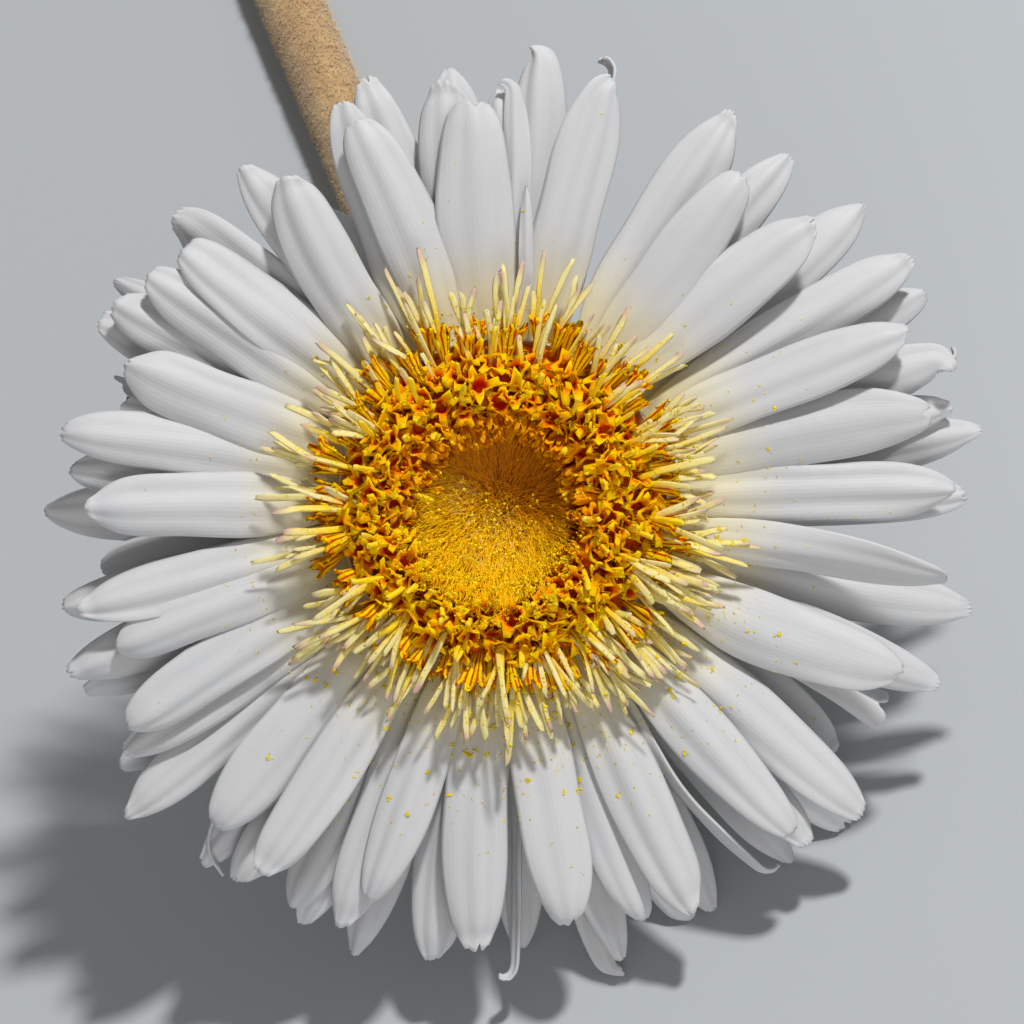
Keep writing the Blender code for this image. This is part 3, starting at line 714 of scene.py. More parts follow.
T, N, B, H, F = Tip.TOOTHED, Tip.NOTCHED, Tip.BLUNT, Tip.HEARTED, Tip.FRAYED
RAY_TIERS: tuple[tuple[Ray, ...], ...] = (
    (Ray(4.3, 25.5, 1.2, 1.2, B, curl=5, tip=0.06), Ray(48, 33.4, 5.8, -2.5, H), Ray(67, 35.0, 4.9, -1.5, T, tip=0.36), Ray(113, 34.8, 5.9, 3.0, H, tip=0.25),
     Ray(138.5, 35.2, 5.0, 1.2, B, tip=0.34), Ray(155, 35.9, 5.2, 0.4, B), Ray(170.8, 34.2, 5.5, 0.4, H, tip=0.4),
     Ray(213.3, 35.2, 4.8, -0.5, B, tip=0.4), Ray(249.5, 33.2, 4.4, 0.8, B), Ray(269.5, 33.2, 5.4, 0.3, B),
     Ray(290.3, 32.2, 5.4, -1.3, H), Ray(309, 33.0, 5.4, 0.3, T, tip=0.42), Ray(326.3, 31.1, 5.4, -4.3, B, tip=0.45),
     Ray(339, 32.8, 5.5, 2.0, T, tip=0.4), Ray(355.5, 32.4, 6.4, -1.0, N, tip=0.5)),
    (Ray(14, 35.0, 5.4, -1.3, T, hook=60, tip=0.26, bend=0.92), Ray(36.5, 32.6, 5.2, -0.8, H, tip=0.42),
     Ray(78.5, 35.2, 5.8, -2.5, N, tip=0.36), Ray(88.5, 36.2, 5.0, -0.5, B), Ray(100, 36.0, 4.0, -0.7, T, roll=30),
     Ray(130.5, 38.2, 5.2, 0.0, T), Ray(183.5, 35.7, 5.4, 1.7, H, tip=0.42), Ray(199, 33.6, 4.6, -1.7, B),
     Ray(221.5, 34.8, 5.5, 1.1, B, tip=0.38), Ray(239, 35.2, 5.0, 2.5, B), Ray(256, 34.8, 4.6, 0.5, B),
     Ray(279.5, 36.0, 5.0, 1.2, H), Ray(302.5, 34.0, 5.0, -0.7, T, tip=0.4)),
    (Ray(359, 33.3, 3.8, 0.4, B, tip=0.3), Ray(1.4, 33.9, 2.4, 1.2, B, curl=10, hook=-95, tip=0.3, bend=0.92), Ray(39.5, 36.3, 4.8, -0.5, T, tip=0.25), Ray(58.8, 38.2, 4.8, 0.2, T, tip=0.24),
     Ray(71.8, 37.4, 5.0, -0.3, B, hook=95, bend=0.93), Ray(138.3, 36.7, 4.2, 0.0, T), Ray(144.5, 36.8, 2.8, 6.0, B, roll=70, curl=100, arch=20, tip=0.3, bend=0.92), Ray(161.5, 35.5, 4.8, 1.5, B),
     Ray(201, 36.4, 4.6, 1.0, B), Ray(236.5, 36.2, 4.8, 0.6, T), Ray(248.5, 37.4, 4.8, 0.5, H),
     Ray(274.5, 34.9, 4.6, 0.0, B), Ray(297.5, 35.1, 5.0, 0.0, T, tip=0.5), Ray(322.5, 34.0, 4.8, -0.4, B, tip=0.4),
     Ray(338.3, 34.8, 4.8, -1.8, T, tip=0.35), Ray(351.5, 34.0, 5.0, -1.5, H, tip=0.4)),
    (Ray(14.5, 36.6, 3.2, 2.2, B, roll=78, curl=130, arch=20, tip=0.25, bend=0.92), Ray(30.5, 36.3, 5.6, -1.5, T, tip=0.24),
     Ray(78, 37.0, 4.2, 0.0, B), Ray(89, 37.5, 4.6, 0.2, H), Ray(102.5, 38.6, 5.0, 2.2, T, tip=0.24),
     Ray(112.7, 38.2, 4.6, 1.0, T, tip=0.25), Ray(133, 38.6, 4.8, 1.0, H, tip=0.4),
     Ray(153, 37.2, 4.6, 0.2, B), Ray(165.5, 38.0, 4.2, 1.2, B),
     Ray(177.5, 36.5, 4.8, 0.5, B, tip=0.22), Ray(189, 37.4, 5.0, 1.0, B), Ray(208, 37.0, 4.4, -0.7, B),
     Ray(215, 37.5, 4.4, 0.3, T), Ray(230.7, 39.4, 4.8, 0.3, B, tip=0.22), Ray(256.5, 36.7, 4.8, -1.0, T),
     Ray(294.5, 35.9, 4.6, 0.0, T, tip=0.4), Ray(311, 35.0, 5.2, 1.0, T, tip=0.4), Ray(342, 35.9, 5.0, 0.7, H, tip=0.38)),
    (Ray(4.8, 37.0, 4.8, 1.4, B, hook=-80, tip=0.14, bend=0.93), Ray(50, 37.8, 4.8, 1.3, T, tip=0.22), Ray(63, 38.4, 4.6, 1.3, T),
     Ray(73, 38.6, 3.2, 0.8, B, roll=70, curl=125, arch=20, tip=0.25, bend=0.92), Ray(81.5, 39.0, 4.6, 1.3, T, tip=0.2),
     Ray(118, 35.3, 2.6, 0.3, N, roll=-20, curl=0, arch=48, tip=1.5), Ray(127, 33.2, 4.8, -1.0, B, tip=0.4), Ray(141.3, 37.4, 4.2, 0.6, B),
     Ray(156.5, 37.0, 4.0, 1.2, B, hook=-70, tip=0.25, bend=0.92), Ray(167.2, 39.0, 3.6, 1.2, B, hook=-80, tip=0.2, bend=0.93),
     Ray(179, 38.4, 2.6, -0.4, B, roll=70, curl=-100, arch=20, tip=0.35, bend=0.93), Ray(198.5, 38.4, 4.8, 0.3, B, tip=0.25),
     Ray(205, 37.8, 4.0, -0.2, B), Ray(219.7, 38.0, 3.8, -0.4, B), Ray(222.6, 37.6, 2.2, 1.4, B, roll=72, curl=90, arch=20, bend=0.76),
     Ray(235.3, 37.8, 4.6, 0.2, B), Ray(245.7, 36.8, 4.6, -1.0, B), Ray(261, 33.0, 4.6, 0.6, B),
     Ray(269.3, 37.2, 4.8, -1.6, B, tip=0.25), Ray(285.4, 33.2, 2.8, 0.4, F, curl=0, tip=1.3), Ray(299.8, 36.2, 3.4, 0.0, T),
     Ray(328, 28.5, 4.2, 0.0, B), Ray(352.8, 35.7, 4.6, 0.4, B, tip=0.22)),
)


@dataclass
class RayFlorets:
    """The white rays, in five tiers: thin grooved blades, each laid along its own curve."""

    lie: Lie
    root_radius: float = 12.6 * MM
    claw: float = 1.5 * MM
    thickness: float = 0.24 * MM
    groove: float = 0.34
    bow: float = 0.7 * MM
    root_heights: tuple[float, ...] = (2.5, 2.1, 1.65, 1.2, 0.75)
    tip_heights: tuple[float, ...] = (5.2, 4.0, 2.7, 1.2, -0.6)
    resting: tuple[float, ...] = (133, 141.3, 153, 156.5, 167.2, 177.5)
    seed: int = 21
    tiers: list[bpy.types.Object] = field(default_factory=list)

    def model_blade(self, end: Tip) -> Mould:
        """Models one flat blade, a unit long each way from its middle, with its grooves and its tip.

        Args:
            end: How the blade ends.

        Returns:
            The blade's mould. Its heights are in millimetres.
        """
        deselect()
        bpy.ops.mesh.primitive_grid_add(x_subdivisions=18, y_subdivisions=10, size=2)
        blade = bpy.context.object
        for across, drop in ((0.2, 0.06), (0.4, self.groove), (0.6, 0.1)):
            pick(blade, lambda co: abs(abs(co.y) - across) < 0.05)
            bpy.ops.transform.translate(value=(0, 0, -drop))
        for across, back in end.value:
            pick(blade, lambda co: co.x > 0.97 and abs(abs(co.y) - across) < 0.05)
            bpy.ops.transform.translate(value=(-2 * back, 0, 0))
            pick(blade, lambda co: 0.83 < co.x < 0.93 and abs(abs(co.y) - across) < 0.05)
            bpy.ops.transform.translate(value=(-back, 0, 0))
        return Mould(subdivided(blade, 1))

    def line(self, ray: Ray, tier: int, reach: float, lift: float, roll: float) -> Ribbon:
        """The centre line of one ray, from under the disc to its tip.

        Args:
            ray: The ray.
            tier: Its tier, counted from the front.
            reach: How far out its line ends before it is curled.
            lift: How much higher than its tier its tip stands.
            roll: How much further than its own roll it is turned, in degrees.

        Returns:
            The line.
        """
        t = np.linspace(0, 1, 60)
        middle = ray.clock + ray.middle
        out, side = clock_direction(middle), clock_direction(middle + 90)
        radius = self.root_radius + (reach - self.root_radius) * t
        lean = math.radians(-ray.middle) * reach
        lateral = lean * np.clip((t - 0.35) / 0.65, 0, 1) ** 1.7
        floor = -(self.lie.head_height - self.down(out) * reach * math.sin(self.lie.tilt)) / math.cos(self.lie.tilt)
        tip = max(self.tip_heights[tier] * MM + lift, floor + 0.8 * MM)
        root = self.root_heights[tier] * MM
        height = root + (tip - root) * t + self.bow * 4 * t * (1 - t)
        points = out * radius[:, None] + side * lateral[:, None]
        points[:, 2] += height
        turn = math.radians(ray.roll + roll) * smoothstep((t - 0.1) / 0.6)
        return Ribbon(points, np.array([0.0, 0.0, 1.0]), turn)

    def down(self, out: np.ndarray) -> float:
        """How directly this way out points down the slope of the face, -1 to 1."""
        return float(-out @ clock_direction(self.lie.stem_clock))

    def lay_ray(self, shape: np.ndarray, ray: Ray, tier: int, draw: np.random.Generator) -> np.ndarray:
        """Lays the flat blade along a ray's line, with its width, arch, curl and small waves.

        Args:
            shape: The blade's points.
            ray: The ray.
            tier: Its tier.
            draw: The seeded random numbers.

        Returns:
            The ray's points in the head's frame.
        """
        u, v = (shape[:, 0] + 1) / 2, shape[:, 1]
        v = v + draw.uniform(-0.2, 0.2) * (1 - v ** 2)
        t = 1 - np.sign(1 - u) * np.abs(1 - u) ** 1.15
        reach = ray.reach * MM
        bends = (ray.bend, math.radians(ray.curl), math.radians(-ray.hook))
        lift, roll = draw.uniform(-0.7, 0.7) * MM, draw.normal(0, 8)
        first = self.line(ray, tier, reach, lift, roll).curled(*bends)
        short = reach - np.linalg.norm(first.points[:, :2], axis=1).max()
        line = self.line(ray, tier, reach + short, lift, roll).curled(*bends)
        broad = ray.width * 0.485 * MM
        half = broad - (broad - self.claw / 2) * np.clip(1 - t / draw.uniform(0.34, 0.5), 0, 1) ** 2
        half = half * (1 - (1 - ray.tip) * np.clip((t - 0.5) / 0.5, 0, 1) ** draw.uniform(2.8, 5.6))
        arch = math.radians(ray.arch) * (0.35 + 0.65 * smoothstep(t / 0.3)) * (1 + 0.5 * smoothstep((t - 0.75) / 0.25))
        across = half * np.sin(arch * v) / np.sin(arch)
        sag = half * (1 - np.cos(arch * v)) / np.sin(arch)
        phase, skew = draw.uniform(0, math.tau, 3), draw.uniform(-0.018, 0.018)
        wave = 0.16 * MM * v ** 2 * np.sin(phase[0] + 9 * t + 1.5 * v) * smoothstep(t / 0.4)
        dent = 0.12 * MM * np.sin(phase[1] + 5 * t) * np.sin(phase[2] + 3 * v) * smoothstep(t / 0.4)
        relief = shape[:, 2] * MM * smoothstep((t - 0.02) / 0.25) * draw.uniform(0.35, 1.05) * (0.75 + 0.5 * t)
        relief *= np.clip(half / (2.3 * MM), 0, 1.1) * (1 + draw.uniform(-0.4, 0.4) * v)
        flick = draw.uniform(-0.2, 0.7) * MM * smoothstep((t - 0.95) / 0.05) ** 2
        across = across * (1 + 0.03 * np.sin(phase[0] + 13 * t)) + 0.06 * MM * np.sin(phase[2] + 7 * t)
        points = line.lay(t + skew * v * smoothstep((t - 0.8) / 0.2), across, relief - sag + wave + dent + flick)
        return self.clear_of_floor(points, ray.clock in self.resting)

    def clear_of_floor(self, points: np.ndarray, rests: bool) -> np.ndarray:
        """Lifts a blade that would sink into the surface, or brings a resting one down to it."""
        lowest = float(self.lie.heights(points).min()) - self.thickness
        if lowest > 0.1 * MM and not rests:
            return points
        radius = np.linalg.norm(points[:, :2], axis=1)
        share = smoothstep((radius - self.root_radius) / (radius.max() - self.root_radius) / 0.95)
        target = 0.07 * MM if rests else 0.15 * MM
        points[:, 2] += (target - lowest) / math.cos(self.lie.tilt) * share
        return points

    def build(self, finish: PetalFinish) -> list[bpy.types.Object]:
        """Casts every tier and gives each blade its thickness.

        Args:
            finish: The rays' finish.

        Returns:
            One piece a tier.
        """
        draw = np.random.default_rng(self.seed)
        moulds = {end: self.model_blade(end) for end in Tip}
        material = finish.make()
        for tier, rays in enumerate(RAY_TIERS):
            casts = []
            for end in Tip:
                chosen = [ray for ray in rays if ray.end is end]
                if chosen:
                    casts.append(moulds[end].cast("ray_tier", [
                        self.lay_ray(moulds[end].points, ray, tier, draw) for ray in chosen]))
            piece = joined(f"ray_florets_tier_{tier + 1}", casts, material)
            wall = piece.modifiers.new("Wall", "SOLIDIFY")
            wall.thickness, wall.offset = self.thickness, -1
            bpy.ops.object.modifier_apply(modifier=wall.name)
            self.tiers.append(piece)
        return self.tiers


# The disc

@dataclass(frozen=True)
class Floret:
    """One disc floret's place in millimetres: its mouth, its way up, its clock angle and its ring, 0 to 1."""

    mouth: np.ndarray
    axis: np.ndarray
    clock: float
    ring: float


@dataclass
class Disc:
    """The disc: a ring of open golden florets round a bowl of buds and brown hairs. Sizes are in millimetres."""

    lie: Lie
    middle: tuple[float, float] = (-0.25, -0.25)
    bowl: float = 6.9
    rim: float = 12.1
    florets: int = 165
    outermost: int = 60
    straps: int = 130
    hairs: int = 9500
    seed: int = 7

    def model_star(self, mouth: float, reach: float, rise: float) -> Mould:
        """Models one floret: a slim tube that flares to five blunt lobes round a deep throat.

        Args:
            mouth: The radius of its mouth.
            reach: How far its lobes' tips stand from its axis.
            rise: How high they stand over its mouth.

        Returns:
            The floret's mould, with its mouth at the origin.
        """
        deselect()
        bpy.ops.mesh.primitive_circle_add(vertices=15, radius=0.26, fill_type="NGON", location=(0, 0, -2.8))
        star = bpy.context.object
        bpy.ops.object.transform_apply(location=True, rotation=False, scale=False)
        pick(star, lambda co: True)
        radius, height = 0.26, -2.8
        for wide, high in ((0.36, -1.9), (mouth + 0.02, -0.8), (mouth + 0.12, 0.0), (mouth + 0.14, 0.1),
                           (mouth + 0.1, 0.2), (mouth + 0.04, 0.3), (mouth - 0.02, -0.15), (mouth - 0.12, -0.9),
                           (0.16, -1.8)):
            bpy.ops.mesh.extrude_region_move(TRANSFORM_OT_translate={"value": (0, 0, high - height)})
            bpy.ops.transform.resize(value=(wide / radius, wide / radius, 1))
            radius, height = wide, high
        middle = mouth + (reach - mouth) * 0.5
        for high, now, out, up in ((0.0, mouth + 0.12, middle, 0.4 * rise), (0.1, mouth + 0.14, reach, rise),
                                   (0.2, mouth + 0.1, 0.96 * reach, rise + 0.14),
                                   (0.3, mouth + 0.04, middle - 0.02, 0.4 * rise + 0.22)):
            pick(star, lambda co: abs(co.z - high) < 0.03 and abs(co.xy.length - now) < 0.02
                 and round(math.atan2(co.x, co.y) / (math.tau / 15)) % 3 != 0)
            bpy.ops.transform.resize(value=(out / now, out / now, 1), center_override=(0, 0, high))
            bpy.ops.transform.translate(value=(0, 0, up - high))
        pick(star, lambda co: True)
        bpy.ops.mesh.normals_make_consistent(inside=False)
        mould = Mould(done(star))
        x, y, z = mould.points.T
        clock, far = np.arctan2(x, y) % math.tau, np.hypot(x, y)
        middle = (np.floor(clock / (math.tau / 5)) + 0.5) * math.tau / 5
        taper = 0.25 * np.clip((far - mouth - 0.2) / max(reach - mouth - 0.2, 0.3), 0, 1)
        clock = middle + (clock - middle) * (1 - taper)
        mould.points[:, 0], mould.points[:, 1] = far * np.sin(clock), far * np.cos(clock)
        x, y, z = mould.points.T
        wide = np.interp(z, (-1.8, -0.9, -0.15), (0.16, mouth - 0.12, mouth - 0.02))
        inside = (z > -1.85) & (z < -0.1) & (np.hypot(x, y) < wide + 0.06)
        lobe = 0.66 - 0.06 * np.clip((np.hypot(x, y) - mouth) / (reach - mouth), 0, 1)
        along = np.where(inside, np.interp(z, (-1.8, -0.9, -0.15), (1.0, 0.92, 0.76)),
                         np.where(z > -0.1, lobe, np.interp(z, (-2.8, 0.0), (0.0, 0.6))))
        mould.wrap((np.arctan2(y, x) / math.tau) % 1, along)
        return mould

    def model_strap(self) -> Mould:
        """Models one style branch, a unit long: a thin strap with a blunt, slightly swollen tip."""
        deselect()
        bpy.ops.mesh.primitive_cylinder_add(vertices=6, radius=1, depth=1, location=(0.5, 0, 0),
                                            rotation=(0, math.pi / 2, 0))
        strap = bpy.context.object
        bpy.ops.object.transform_apply(location=True, rotation=True, scale=True)
        for x in (0.12, 0.35, 0.6, 0.8, 0.93):
            bpy.ops.object.mode_set(mode="EDIT")
            bpy.ops.mesh.select_all(action="SELECT")
            bpy.ops.mesh.bisect(plane_co=(x, 0, 0), plane_no=(1, 0, 0))
            bpy.ops.object.mode_set(mode="OBJECT")
        for x, spread in ((0.0, 0.8), (0.12, 0.9), (0.35, 1.0), (0.6, 1.05), (0.8, 1.1), (0.93, 1.0), (1.0, 0.6)):
            pick(strap, lambda co: abs(co.x - x) < 0.01)
            bpy.ops.transform.resize(value=(1, spread, spread), center_override=(x, 0, 0))
        mould = Mould(done(strap))
        x, y, z = mould.points.T
        mould.uv = np.stack([x[mould.corners], y[mould.corners]], axis=1)
        return mould

    def height(self, radius: float) -> float:
        """The height of the florets' mouths over the rays' roots."""
        return float(np.interp(radius, (0, 3, 5.4, 6.6, 8.4, 10.6, 12.7, 14.0), (3.0, 3.2, 4.3, 5.6, 6.9, 6.7, 5.6, 4.8)))

    def spot(self, radius: float, clock: float) -> np.ndarray:
        """The place on the disc's surface at a radius and a clock angle."""
        return clock_direction(clock) * radius + np.array([*self.middle, self.height(radius)])

    def places(self, draw: np.random.Generator) -> list[Floret]:
        """Spreads the open florets evenly, leaning inwards at the bowl and far outwards at the rim."""
        found = []
        for i in range(self.florets):
            radius = math.sqrt(self.bowl ** 2 + (i + 0.5) / self.florets * (self.rim ** 2 - self.bowl ** 2))
            ring = (radius - self.bowl) / (self.rim - self.bowl)
            clock = math.degrees(i * GOLDEN_ANGLE) + draw.uniform(-5, 5)
            lean = float(np.interp(ring, (0, 0.25, 0.6, 1), (-36, -8, 16, 46))) + draw.uniform(-15, 15)
            out, side = clock_direction(clock), clock_direction(clock + 90)
            tilt = math.radians(lean)
            axis = out * math.sin(tilt) + np.array([0, 0, math.cos(tilt)]) + side * draw.uniform(-0.3, 0.3)
            mouth = self.spot(radius, clock) + out * 0.9 * math.sin(max(tilt, 0))
            mouth[2] += draw.uniform(-0.45, 0.3)
            found.append(Floret(mouth, axis / np.linalg.norm(axis), clock, ring))
        for i in range(self.outermost):
            clock = 360 * (i + draw.uniform(-0.3, 0.3)) / self.outermost
            out, side = clock_direction(clock), clock_direction(clock + 90)
            tilt = math.radians(draw.uniform(62, 86))
            axis = out * math.sin(tilt) + np.array([0, 0, math.cos(tilt)]) + side * draw.uniform(-0.2, 0.2)
            mouth = self.spot(draw.uniform(13.4, 15.0), clock) + np.array([0, 0, draw.uniform(0.3, 1.4)])
            found.append(Floret(mouth, axis / np.linalg.norm(axis), clock, 1.1))
        return found

    def build_florets(self, places: Sequence[Floret], finish: FloretFinish,
                      draw: np.random.Generator) -> bpy.types.Object:
        """Casts the open florets in their places, from four models."""
        moulds = (self.model_star(0.68, 1.55, -0.1), self.model_star(0.62, 1.4, 0.2),
                  self.model_star(0.72, 1.5, -0.35), self.model_star(0.56, 1.2, 0.5), self.model_star(0.6, 1.05, 0.8))
        casts = []
        kinds = [4 if place.ring > 1 else int(draw.integers(0, 4)) for place in places]
        for kind, mould in enumerate(moulds):
            chosen = [place for place, own in zip(places, kinds) if own == kind]
            copies = []
            for place in chosen:
                size = float(np.interp(place.ring, (0, 0.15, 0.35, 1), (0.68, 0.84, 1.0, 0.98)))
                copies.append(self.placed(mould.points, place.mouth, place.axis, size * draw.uniform(0.85, 1.14), draw))
            casts.append(mould.cast("open", copies, ring=[place.ring for place in chosen],
                                    own=draw.uniform(0, 1, len(copies))))
        return joined("disc_florets_open", casts, finish.make())

    @staticmethod
    def placed(shape: np.ndarray, mouth: np.ndarray, axis: np.ndarray, size: float,
               draw: np.random.Generator) -> np.ndarray:
        """Places a floret by its mouth, with a little twist and unevenness of its own, in metres."""
        turn = Vector((0, 0, 1)).rotation_difference(Vector(axis)).to_matrix()
        turn = turn @ Matrix.Rotation(draw.uniform(0, math.tau), 3, "Z")
        x, y, z = shape.T
        clock = np.arctan2(x, y) / math.tau
        spoke = np.floor(clock * 5 - 0.03).astype(int) % 5
        ragged = draw.uniform(-0.24, 0.24, 15)[np.round(clock * 15).astype(int) % 15]
        lobe = np.clip((np.hypot(x, y) - 0.75) / 0.6, 0, 1) * (z > -0.7)
        longer, higher, aside = (draw.uniform(-most, most, 5)[spoke] * lobe for most in (0.32, 0.6, 0.45))
        angle, far = np.arctan2(y, x) + aside, np.hypot(x, y) * (1 + longer + ragged * lobe)
        local = np.stack([far * np.cos(angle), far * np.sin(angle), z + higher], axis=1) * size
        local += draw.normal(0, 0.06, local.shape) * np.where(z > -0.05, 1.0, 0.25)[:, None]
        return (local @ np.array(turn).T + mouth) * MM

    def build_buds(self, finish: FloretFinish, draw: np.random.Generator) -> bpy.types.Object:
        """Casts the closed florets that lean in over the bowl, more of them low down, where pollen gilds them."""
        mould = self.model_star(0.3, 0.32, 0.4)
        copies, rings = [], []
        for low, high, count, lean in ((6.1, 7.0, 46, 52), (5.2, 6.2, 38, 68), (4.2, 5.6, 52, 30), (7.2, 12.4, 150, -12)):
            for i in range(count):
                clock = 360 * (i + draw.uniform(-0.4, 0.4)) / count
                lower = math.cos(math.radians(clock - 195)) + draw.uniform(-0.3, 0.3)
                if (low < 5 and lower < 0.3) or (5 < low < 6 and lower > 0.1):
                    continue
                out = clock_direction(clock)
                tilt = math.radians(lean + draw.uniform(-18, 18))
                axis = -out * math.sin(tilt) + np.array([0, 0, math.cos(tilt)])
                large = 5 < low < 7 and lower < 0.1
                drop = draw.uniform(-0.5, 0.1) - (0.5 if low > 7 else 0) + (0.7 if large else 0)
                mouth = self.spot(draw.uniform(low, high), clock) + np.array([0, 0, drop])
                size = draw.uniform(1.0, 1.5) if large else draw.uniform(0.75, 1.1)
                copies.append(self.placed(mould.points, mouth, axis, size, draw))
                rings.append(draw.uniform(0.0, 0.4))
        piece = mould.cast("bud_centre_buds", copies, ring=rings, own=draw.uniform(0, 1, len(copies)))
        piece.data.materials.append(finish.make())
        return piece

    def build_hairs(self, finish: HairFinish, draw: np.random.Generator) -> bpy.types.Object:
        """Casts the bowl's hairs, which point in from its wall and up at its middle like a brush.

        They are brown at the top and right, partly painted shade under the rim, and golden at the bottom, partly
        pollen and partly painted light on the lower wall that faces the light; some at the left get pale tips, painted
        glints.
        """
        feet, tips, thick, gold, pale = [], [], [], [], []
        for _ in range(self.hairs):
            radius = 6.9 * math.sqrt(draw.uniform(0, 1))
            clock = draw.uniform(0, 360)
            out = clock_direction(clock)
            low = math.cos(math.radians(clock - 205)) * radius / 6.6
            radius += 2.2 * max(low, 0) ** 2
            # Golden share, strongest low down: pollen, and painted light on the lower side
            ripe = float(smoothstep((low + draw.normal(0, 0.22) + 0.2) / 0.45))
            foot = self.spot(radius, clock) - np.array([0, 0, 1.3 - 0.9 * max(low, 0)])
            tilt = math.radians(min(64, 8 + 62 * (radius / 6.6) ** 1.4))
            aim = -out * math.sin(tilt) + np.array([0, 0, math.cos(tilt)]) + draw.normal(0, 0.14 + 0.2 * ripe, 3)
            tip = foot + aim / np.linalg.norm(aim) * draw.uniform(1.6, 2.7)
            feet.append(foot)
            tips.append(tip)
            thick.append(draw.uniform(0.035, 0.06) * (1 + 0.35 * ripe))
            gold.append(ripe)
            # Painted highlight: pale tips in two patches at the left stand in for glints
            near = math.hypot(tip[0] + 3.2, tip[1] - 0.4) / 1.5 < 1 or math.hypot(tip[0] + 0.6, tip[1] + 2.6) < 2.4
            pale.append(float(near and draw.uniform(0, 1) < 0.13) * draw.uniform(0.6, 1))
        piece = spikes("bud_centre_hairs", np.array(feet) * MM, np.array(tips) * MM, np.array(thick) * MM,
                       pale=pale, gold=gold, own=draw.uniform(0, 1, self.hairs))
        piece.data.materials.append(finish.make())
        return piece

    def build_styles(self, places: Sequence[Floret], finish: StrapFinish,
                     draw: np.random.Generator) -> bpy.types.Object:
        """Casts the style branches: a yellow column in many throats, and pale straps out over the rays."""
        mould = self.model_strap()
        copies, rings, blushes = [], [], []
        outer = [place for place in places if place.ring > 0.75]
        jobs = [(place, place.ring > draw.uniform(0.55, 0.95), 0.0) for place in places if draw.uniform(0, 1) < 0.5]
        lower = [place for place in outer if math.cos(math.radians(place.clock - 175)) > 0.35]
        for those, count in ((outer, self.straps), (lower, self.straps // 4)):
            for i in draw.integers(0, len(those), count):
                apart = draw.uniform(8, 20)
                jobs += [(those[int(i)], True, apart), (those[int(i)], True, -apart)]
        for place, long, apart in jobs:
            out = clock_direction(place.clock + draw.normal(0, 9) + apart)
            foot = place.mouth - place.axis * 1.1 + (draw.normal(0, 0.3, 3) if long else 0)
            length = draw.uniform(2.8, 6.0) if long else draw.uniform(2.6, 4.6)
            way = place.axis + out * (draw.uniform(0.2, 1.3) if long else draw.uniform(0.0, 0.9))
            way = way / np.linalg.norm(way)
            t = np.linspace(0, 1, 12)[:, None]
            side = np.cross(way, [0, 0, 1])
            bend = (out * draw.uniform(0.0, 0.35) - np.array([0, 0, draw.uniform(0.25, 0.6) * max(way[2], 0.15)])
                    + side * draw.uniform(-0.22, 0.22)) if long else side * draw.uniform(-0.3, 0.3)
            path = foot + way * length * t + bend * length * t ** 2
            line = Ribbon(path * MM, np.array([0.02, 0.0, 1.0]), draw.uniform(-0.6, 0.6))
            wide = (draw.uniform(0.19, 0.3) if long else draw.uniform(0.17, 0.26)) * MM
            rough = mould.points + draw.normal(0, 0.16 if long else 0.24, mould.points.shape) * np.array([0.1, 1, 1])
            copies.append(line.lay(rough[:, 0], rough[:, 1] * wide, rough[:, 2] * wide * (0.18 if long else 0.8)))
            rings.append(draw.uniform(0.08, 0.85) if long else draw.uniform(-0.9, -0.3))
            blushes.append(float(long and draw.uniform(0, 1) < 0.6) * draw.uniform(0.3, 0.9))
        piece = mould.cast("disc_florets_styles", copies, ring=rings, blush=blushes)
        piece.data.materials.append(finish.make())
        return piece

    def build_core(self, name: str, profile: Sequence[tuple[float, float]], finish: FeltFinish) -> bpy.types.Object:
        """Turns the plain body that florets or hairs stand on.

        Args:
            name: The piece's name.
            profile: Its section as (radius, height), down its outer side.
            finish: Its finish.

        Returns:
            The body.
        """
        piece = turned(name, profile, 96)
        piece.data.materials.append(finish.make())
        return piece


def spikes(name: str, feet: np.ndarray, tips: np.ndarray, thick: np.ndarray,
           **values: Sequence[float]) -> bpy.types.Object:
    """Models one hair as a three-sided spike, and casts it from each foot to its tip.

    Args:
        name: The new piece's name.
        feet: Where each hair stands.
        tips: Where each ends.
        thick: Each one's radius at its foot.
        values: Attributes to store, with one number a hair.

    Returns:
        The hairs, as one piece, whose map's first value runs to their tips.
    """
    deselect()
    bpy.ops.mesh.primitive_cone_add(vertices=3, radius1=1, radius2=0, depth=1, location=(0.5, 0, 0),
                                    rotation=(0, math.pi / 2, 0))
    bpy.ops.object.transform_apply(location=True, rotation=True, scale=True)
    mould = Mould(bpy.context.object)
    mould.uv = np.stack([mould.points[mould.corners, 0], np.zeros(len(mould.corners))], axis=1)
    way = tips - feet
    side = np.cross(way, (0.31, 0.22, 0.93))
    side *= (thick / np.linalg.norm(side, axis=1))[:, None]
    rise = np.cross(way, side) / np.linalg.norm(way, axis=1, keepdims=True)
    x, y, z = (mould.points[None, :, i, None] for i in range(3))
    copies = feet[:, None] + way[:, None] * x + side[:, None] * y + rise[:, None] * z
    return mould.cast(name, copies, **values)


